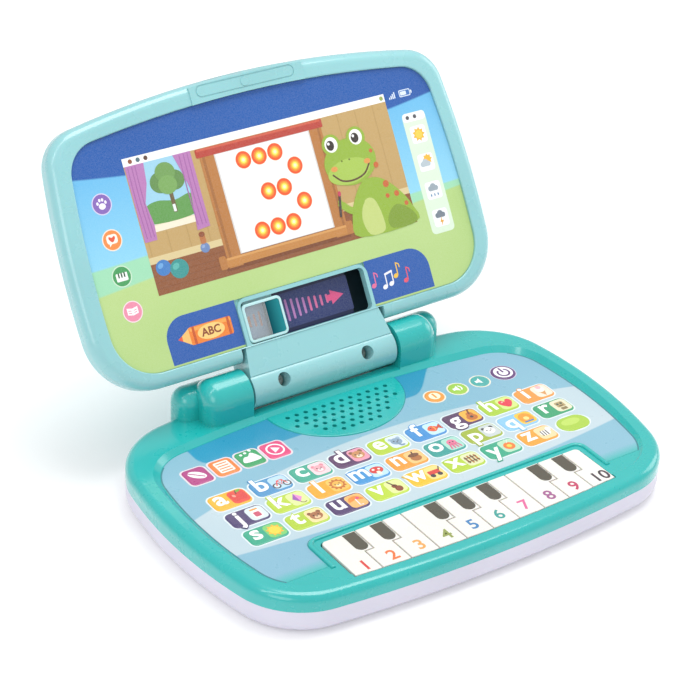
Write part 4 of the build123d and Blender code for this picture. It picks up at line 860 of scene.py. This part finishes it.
arc = [(x + 0.2 * math.sin(t), y - 0.02 + 0.2 * math.cos(t)) for t in turns]
deck.slab(stroke(arc, 0.07), "5B2C70")
deck.slab(stroke([(x, y + 0.02), (x, y + 0.26)], 0.07, False), "5B2C70")
deck.finish_up()

# Numbers on the white keys.
NUMBER_COLOURS = "D8342C E8702A F0A24A 8E9A44 2F7CB8 2E9C94 E0609A A0548C C02C5C 33202E".split()
for number, colour in enumerate(NUMBER_COLOURS, start=1):
    marks = Print(f"number_{number}", KEY_SHEET, f"piano_key_{number}", "white_key", inked)
    middle = -5.38 + 0.99 * number + (0.06 if number == 10 else 0.0)
    marks.text(str(number), middle, -1.62, 0.66, colour, 0.012)
    marks.finish_up()

# ---- pictures on the lid --------------------------------------------------------------------------
lid = Print("lid_pictures", LID_SHEET, "lid", "screen_sheet", inked)

# Title band's small signs, at the right.
for k, height in enumerate((0.07, 0.12, 0.17, 0.22)):
    lid.slab(panel(5.14 + 0.07 * k, 8.98 + height / 2, 0.045, height, 0.01), "DCE8F6")
lid.slab(panel(5.77, 9.09, 0.46, 0.24, 0.05), "DCE8F6")
lid.slab(panel(5.77, 9.09, 0.40, 0.18, 0.03), "2F6CB6")
lid.slab(panel(5.71, 9.09, 0.24, 0.13, 0.02), "DCE8F6")
lid.slab(panel(6.04, 9.09, 0.05, 0.11, 0.02), "DCE8F6")

# Picture window: title bar, room, floor.
LEFT, LOW, RIGHT, HIGH = -5.13, 4.78, 4.93, 9.22


def block(left, low, right, high, colour, radius=0.0):
    """Rectangle on the lid given by its sides."""
    lid.slab(panel((left + right) / 2, (low + high) / 2, right - left, high - low, radius), colour)


block(LEFT, LOW, RIGHT, HIGH, "C2A064")
block(LEFT, 8.96, RIGHT, HIGH, "FBFBF8")
for x, colour in ((-4.86, "8E4A28"), (-4.58, "4C6A78"), (-4.30, "5A3A2C"), (4.80, "9AAA52")):
    lid.slab(oval(x, 9.09, 0.075, count=14), colour)
for k in range(14):
    block(LEFT + 0.12 + 0.72 * k, 6.02, LEFT + 0.16 + 0.72 * k, 8.96, "B8965A")
block(LEFT, 5.76, RIGHT, 6.0, "DCC894")
block(LEFT, LOW, RIGHT, 5.78, "8E5228")
for k in range(4):
    block(LEFT, 4.98 + 0.2 * k, RIGHT, 4.995 + 0.2 * k, "7E4722")

# Window with a tree, between curtains.
block(-4.86, 6.78, -2.96, 8.96, "E8DDBE")
block(-4.76, 6.98, -3.06, 8.96, "9CCFE6")
meadow = smooth([(-4.76, 7.02), (-4.76, 7.55), (-4.3, 7.68), (-3.7, 7.58), (-3.06, 7.66), (-3.06, 7.02)])
lid.slab(meadow, "5E9A4A")
lid.slab(panel(-3.76, 7.55, 0.14, 0.7, 0.03), "6B5A34")
for x, y, radius, colour in (
    (-4.02, 8.22, 0.38, "5F8C46"), (-3.52, 8.2, 0.36, "5F8C46"), (-3.78, 8.5, 0.36, "6E9C50"),
    (-3.8, 8.1, 0.34, "77A656"),
):
    lid.slab(oval(x, y, radius, radius * 0.9, 0, 22), colour)
block(-3.82, 7.22, -3.72, 7.46, "E8F0EC", 0.02)
block(-4.86, 6.74, -2.96, 6.94, "F0E8D0")
CURTAINS = (
    [(-5.1, 8.96), (-4.42, 8.96), (-4.5, 8.3), (-4.72, 7.7), (-4.62, 7.0), (-4.66, 6.5), (-5.1, 6.5)],
    [(-3.36, 8.96), (-2.72, 8.96), (-2.72, 6.5), (-3.2, 6.46), (-3.14, 7.1), (-3.06, 7.8), (-3.2, 8.4)],
)
for curtain in CURTAINS:
    lid.slab(curtain, "B878B4")
for x in (-5.0, -4.86, -4.74, -3.14, -2.98, -2.84):
    lid.slab(stroke([(x, 8.9), (x - 0.02, 7.8), (x + 0.01, 6.62)], 0.035), "A263A2")

# Toys on the floor.
for x, y, radius, colour, light in (
    (-4.72, 5.6, 0.27, "3A7CC2", "6AA6DC"), (-4.18, 5.44, 0.33, "2F9490", "57B4AC"),
    (-3.1, 5.86, 0.17, "6A86B8", "90A8D0"),
):
    lid.slab(oval(x, y, radius, radius * 0.95, 0, 24), colour)
    lid.slab(oval(x - radius * 0.3, y + radius * 0.3, radius * 0.4, radius * 0.3, 30, 14), light)
lid.slab(panel(-3.1, 6.14, 0.2, 0.3, 0.07), "B8703A")
lid.slab(oval(-3.1, 6.3, 0.11, 0.09, 0, 14), "8E4A24")

# Easel with its sheet of paper.
block(-2.55, 4.92, 2.28, 5.12, "7A4018")
block(-2.45, 5.0, -1.92, 8.86, "B87838")
block(1.72, 5.0, 2.22, 8.86, "B87838")
block(-2.36, 5.1, -2.26, 8.7, "A2662C")
block(2.06, 5.1, 2.14, 8.7, "A2662C")
block(-2.56, 8.66, 2.30, 8.94, "B83C2C", 0.04)
block(-2.5, 8.86, 2.24, 8.93, "D05A40", 0.02)
block(-2.52, 5.04, 2.34, 5.34, "C4843E", 0.04)
block(-2.46, 5.26, 2.28, 5.33, "D89C56", 0.02)
for x in (-2.62, 2.3):
    lid.slab(panel(x, 5.22, 0.26, 0.44, 0.06), "B87838")
block(-1.92, 5.36, 1.74, 8.66, "D8D5D2")
block(-1.87, 5.38, 1.69, 8.64, "FAF8F6")
# Unlit spots of the LED screen show faintly through the paper.
LED_X = (-0.92, -0.32, 0.29, 0.89)
LED_V = (8.26, 7.67, 7.08, 6.48, 5.90)
LIT = {(0, 0), (1, 0), (2, 0), (3, 1), (1, 2), (2, 2), (3, 3), (0, 4), (1, 4), (2, 4)}
for column, x in enumerate(LED_X):
    for row, v in enumerate(LED_V):
        if (column, row) not in LIT:
            lid.slab(oval(x, v, 0.2, count=20), "F4F1EE")
spots = Print("lit_spots", LID_SHEET, "lid", "screen_sheet", lit_ink())
spots.lift = 8 * LAYER
GLOW = (
    (0.29, "F4884A"), (0.275, "D93A12"), (0.235, "E8521A"), (0.19, "F07A1E"), (0.14, "F8A832"),
    (0.095, "FDD65C"), (0.055, "FFF2A8")
)
for column, row in sorted(LIT):
    for radius, colour in GLOW:
        spots.slab(oval(LED_X[column], LED_V[row], radius, count=26), colour)
spots.finish_up()

# A plain green frog that looks round the easel.
SKIN, SHADE, BELLY = "93B434", "7E9C28", "C4D37C"
back = [(2.62, 4.8), (2.5, 5.5), (2.86, 6.2), (3.3, 6.6), (3.92, 6.55), (4.5, 6.05), (4.9, 5.4), (4.9, 4.8)]
lid.slab(smooth(back, steps=4), SKIN)
front = [(3.02, 4.8), (2.86, 5.4), (3.14, 5.95), (3.5, 5.9), (3.66, 5.3), (3.6, 4.8)]
lid.slab(smooth(front, steps=4), BELLY)
lid.slab(smooth([(3.95, 4.8), (3.86, 5.2), (4.3, 5.55), (4.86, 5.2), (4.9, 4.8)], steps=4), SHADE)
lid.slab(stroke([(3.0, 5.95), (2.6, 5.72), (2.26, 5.98)], 0.24), SKIN)
for turn in (-0.1, 0.0, 0.1):
    lid.slab(oval(2.16 + abs(turn) * 0.3, 6.02 + turn, 0.08, 0.06, 0, 12), SKIN)
lid.slab(stroke([(2.08, 5.66), (2.22, 6.3)], 0.09, False), "4A3A34")
lid.slab(oval(2.24, 6.38, 0.06, 0.09, -12, 12), "C83A5A")
lid.slab(oval(2.98, 7.32, 1.02, 0.78, 4, 40), SKIN)
lid.slab(oval(2.84, 7.02, 0.84, 0.42, 4, 32), "A8C650")
for x, y in ((2.42, 8.0), (3.42, 8.06)):
    lid.slab(oval(x, y, 0.36, 0.36, 0, 26), SKIN)
    lid.slab(oval(x, y + 0.01, 0.25, 0.26, 0, 24), "FBFBF4")
    lid.slab(oval(x - 0.04, y - 0.01, 0.15, 0.17, 0, 20), "2A2018")
    lid.slab(oval(x - 0.09, y + 0.06, 0.05, count=10), WHITE)
lid.slab(stroke([(2.2, 7.02), (2.5, 6.76), (2.95, 6.7), (3.4, 6.82), (3.66, 7.1)], 0.06), "5A3A20")
for x in (2.66, 2.96):
    lid.slab(oval(x, 7.4, 0.035, count=10), "6A7A24")
for x in (2.3, 3.62):
    lid.slab(oval(x, 7.2, 0.13, 0.09, 0, 16), "E09A4A")
WARTS = (
    (3.92, 7.0, 0.1), (4.1, 6.3, 0.12), (4.42, 5.9, 0.1), (4.05, 5.9, 0.08), (3.86, 7.5, 0.07),
    (4.7, 5.5, 0.08)
)
for x, y, radius in WARTS:
    lid.slab(oval(x, y, radius, count=16), "C8642C")

# Round icons on the left.
ICONS = (
    (-6.19, 8.02, "8260B4", "D9D0EC"), (-6.175, 6.86, "F08A3C", "FBE8D4"),
    (-6.19, 5.69, "3C9A54", "CDE8CE"), (-6.15, 4.54, "EC8CA8", "F8DCE4")
)
for x, y, colour, ring in ICONS:
    lid.slab(oval(x, y, 0.345, count=30), ring)
    lid.slab(oval(x, y, 0.31, count=30), colour)
x, y = ICONS[0][:2]
lid.slab(oval(x, y - 0.07, 0.12, 0.1, 0, 16), "F3EEFA")
for dx, dy in ((-0.14, 0.04), (-0.05, 0.13), (0.05, 0.13), (0.14, 0.04)):
    lid.slab(oval(x + dx, y + dy, 0.042, 0.055, 0, 12), "F3EEFA")
x, y = ICONS[1][:2]
lid.slab(panel(x, y + 0.03, 0.38, 0.3, 0.1), "FFF4E8")
lid.slab([(x - 0.12, y - 0.08), (x - 0.02, y - 0.1), (x - 0.13, y - 0.2)], "FFF4E8")
heart = smooth([(0, -0.07), (-0.11, 0.04), (-0.09, 0.12), (0, 0.08), (0.09, 0.12), (0.11, 0.04)])
lid.slab([(x + a, y + b) for a, b in heart], "E2502E")
x, y = ICONS[2][:2]
lid.slab(panel(x, y - 0.02, 0.40, 0.26, 0.03), "F6FAF4")
for dx in (-0.1, 0.0, 0.1):
    lid.slab(panel(x + dx, y + 0.04, 0.05, 0.15, 0.01), "1F4A2C")
x, y = ICONS[3][:2]
for side in (-1, 1):
    outer = x + side * 0.19
    lid.slab([(x, y - 0.12), (outer, y - 0.08), (outer, y + 0.14), (x, y + 0.1)], "FFF6F8")
    for k in (0, 1):
        line = [(x + side * 0.05, y + 0.03 - 0.07 * k), (x + side * 0.14, y + 0.05 - 0.07 * k)]
        lid.slab(stroke(line, 0.02, False), "E07A9A")

# Weather strip on the right.
lid.slab(panel(5.88, 6.28, 0.94, 4.18, 0.16), "DDEFD8")
lid.slab(panel(5.88, 8.24, 0.92, 0.3, 0.12), "F6FAFA")
for x in (5.62, 5.92):
    lid.slab(oval(x, 8.24, 0.07, count=14), "4A4A52")
for v in (7.62, 6.64, 5.66, 4.70):
    lid.slab(panel(5.90, v, 0.62, 0.60, 0.1), "F5FAFC")


def cloud(x, y, size, colour):
    """Three puffs over a flat foot."""
    for dx, dy, radius in ((-0.5, -0.05, 0.36), (0.5, -0.05, 0.34), (0.0, 0.15, 0.5)):
        lid.slab(oval(x + dx * size, y + dy * size, radius * size, count=18), colour)
    lid.slab(panel(x, y - 0.22 * size, 1.5 * size, 0.36 * size, 0.17 * size), colour)


lid.slab(star(5.9, 7.62, 0.25, 0.17, 9), "F6B92E")
lid.slab(oval(5.9, 7.62, 0.14, count=20), "FBD04A")
lid.slab(star(5.98, 6.74, 0.19, 0.13, 8), "F6B92E")
cloud(5.86, 6.6, 0.24, "B9C6CE")
cloud(5.9, 5.74, 0.24, "9AA8B2")
for dx in (-0.14, 0.0, 0.14):
    lid.slab(oval(5.9 + dx, 5.50, 0.028, 0.05, 0, 10), "5E86B0")
cloud(5.9, 4.80, 0.24, "74808C")
lid.slab([(5.93, 4.72), (5.83, 4.54), (5.9, 4.55), (5.86, 4.42), (5.99, 4.6), (5.91, 4.6)], "E8A62A")


def corner(x, y, start):
    """Round upper corner of a blue panel, clockwise over a quarter turn."""
    turns = [math.radians(start - 10 * k) for k in range(10)]
    return [(x + 0.74 * math.cos(t), y + 0.74 * math.sin(t)) for t in turns]


# Blue panels beside the slider, a crayon on the left one and notes on the right one.
lid.slab([(-5.27, 2.52)] + corner(-4.55, 3.26, 180) + [(-2.62, 4.0), (-2.62, 2.52)], "1557AA")
lid.slab([(2.44, 2.52), (2.44, 4.0)] + corner(4.2, 3.26, 90) + [(4.94, 2.52)], "1557AA")
lid.slab([(-4.42, 2.98), (-4.42, 3.56), (-4.88, 3.27)], "F6C06A")
lid.slab([(-4.74, 3.18), (-4.74, 3.36), (-4.9, 3.27)], "E8502A")
lid.slab(panel(-3.68, 3.27, 1.56, 0.58, 0.07), "F08020")
lid.slab(panel(-3.68, 3.47, 1.50, 0.12, 0.05), "F8A446")
for x in (-4.3, -3.02):
    lid.slab(panel(x, 3.27, 0.09, 0.58, 0.02), "C85410")
lid.slab(oval(-3.68, 3.27, 0.5, 0.245, 0, 32), "FBD07A")
lid.text("ABC", -3.68, 3.27, 0.36, "8A3A10", 0.01)
NOTES = (
    (2.62, 3.12, "E86A9A", False), (3.04, 2.98, "F6F4FA", True), (3.55, 3.24, "F6C23C", False),
    (3.9, 3.0, "E8506A", False)
)
for x, y, colour, pair in NOTES:
    lid.slab(oval(x, y, 0.1, 0.075, 20, 14), colour)
    lid.slab(stroke([(x + 0.085, y + 0.02), (x + 0.1, y + 0.42)], 0.04, False), colour)
    if pair:
        lid.slab(oval(x + 0.27, y + 0.05, 0.1, 0.075, 20, 14), colour)
        lid.slab(stroke([(x + 0.355, y + 0.07), (x + 0.37, y + 0.47)], 0.04, False), colour)
        lid.slab(stroke([(x + 0.1, y + 0.41), (x + 0.37, y + 0.46)], 0.07, False), colour)
    else:
        lid.slab(stroke([(x + 0.1, y + 0.42), (x + 0.2, y + 0.36), (x + 0.21, y + 0.26)], 0.04), colour)
lid.finish_up()

# Slider track: bars that shrink towards an arrow, and the marks under the slider's window.
plate = NODES["slider_track_plate"]
track_top = max((plate.matrix_world @ v.co).dot(panel_normal) for v in plate.data.vertices)
depth = foot.dot(panel_normal) - track_top
track_foot = foot + ALONG * LAYOUT_X * UNIT - panel_normal * depth
TRACK_SHEET = sheet_matrix(ALONG, UP_LID, panel_normal, track_foot)
track = Print("track_print", TRACK_SHEET, "lid", "slider_track", inked)
track.slab(panel(0.43, 3.16, 2.9, 1.16, 0.05), "1C2F6C")
for k in range(9):
    bar = panel(-0.82 + 0.222 * k, 3.16, 0.085, 0.80 - 0.062 * k, 0.04)
    track.slab(bar, "D86A9E" if k > 4 else "B878B8")
track.slab([(1.12, 2.92), (1.12, 3.4), (1.62, 3.16)], "E8508A")
track.slab(panel(1.1, 3.16, 0.3, 0.2, 0.03), "E8508A")
track.slab(panel(-1.95, 3.16, 1.0, 1.16, 0.04), "8397BC")
track.slab([(-2.02, 2.96), (-2.02, 3.36), (-2.38, 3.16)], "EC7A10")
for k in range(2):
    track.slab(panel(-1.86 + 0.2 * k, 3.16, 0.08, 0.42 + 0.06 * k, 0.03), "D8743C")
track.finish_up()

# ---- floor ----------------------------------------------------------------------------------------
floor_mesh = bpy.data.meshes.new("floor")
floor_mesh.from_pydata([(-6, -6, 0), (6, -6, 0), (6, 6, 0), (-6, 6, 0)], [], [(0, 1, 2, 3)])
floor = bpy.data.objects.new("floor", floor_mesh)
scene.collection.objects.link(floor)
floor_shader = Shader("floor_paper")
fibre = floor_shader.noise(900.0, 3.0)
paper = floor_shader.mix(fibre, (0.93, 0.93, 0.93, 1.0), (0.97, 0.97, 0.97, 1.0))
floor_shader.set(Base_Color=paper, Roughness=0.9)
floor_shader.set(Emission_Color=(1.0, 1.0, 1.0, 1.0), Emission_Strength=0.09)
floor_mesh.materials.append(floor_shader.material)
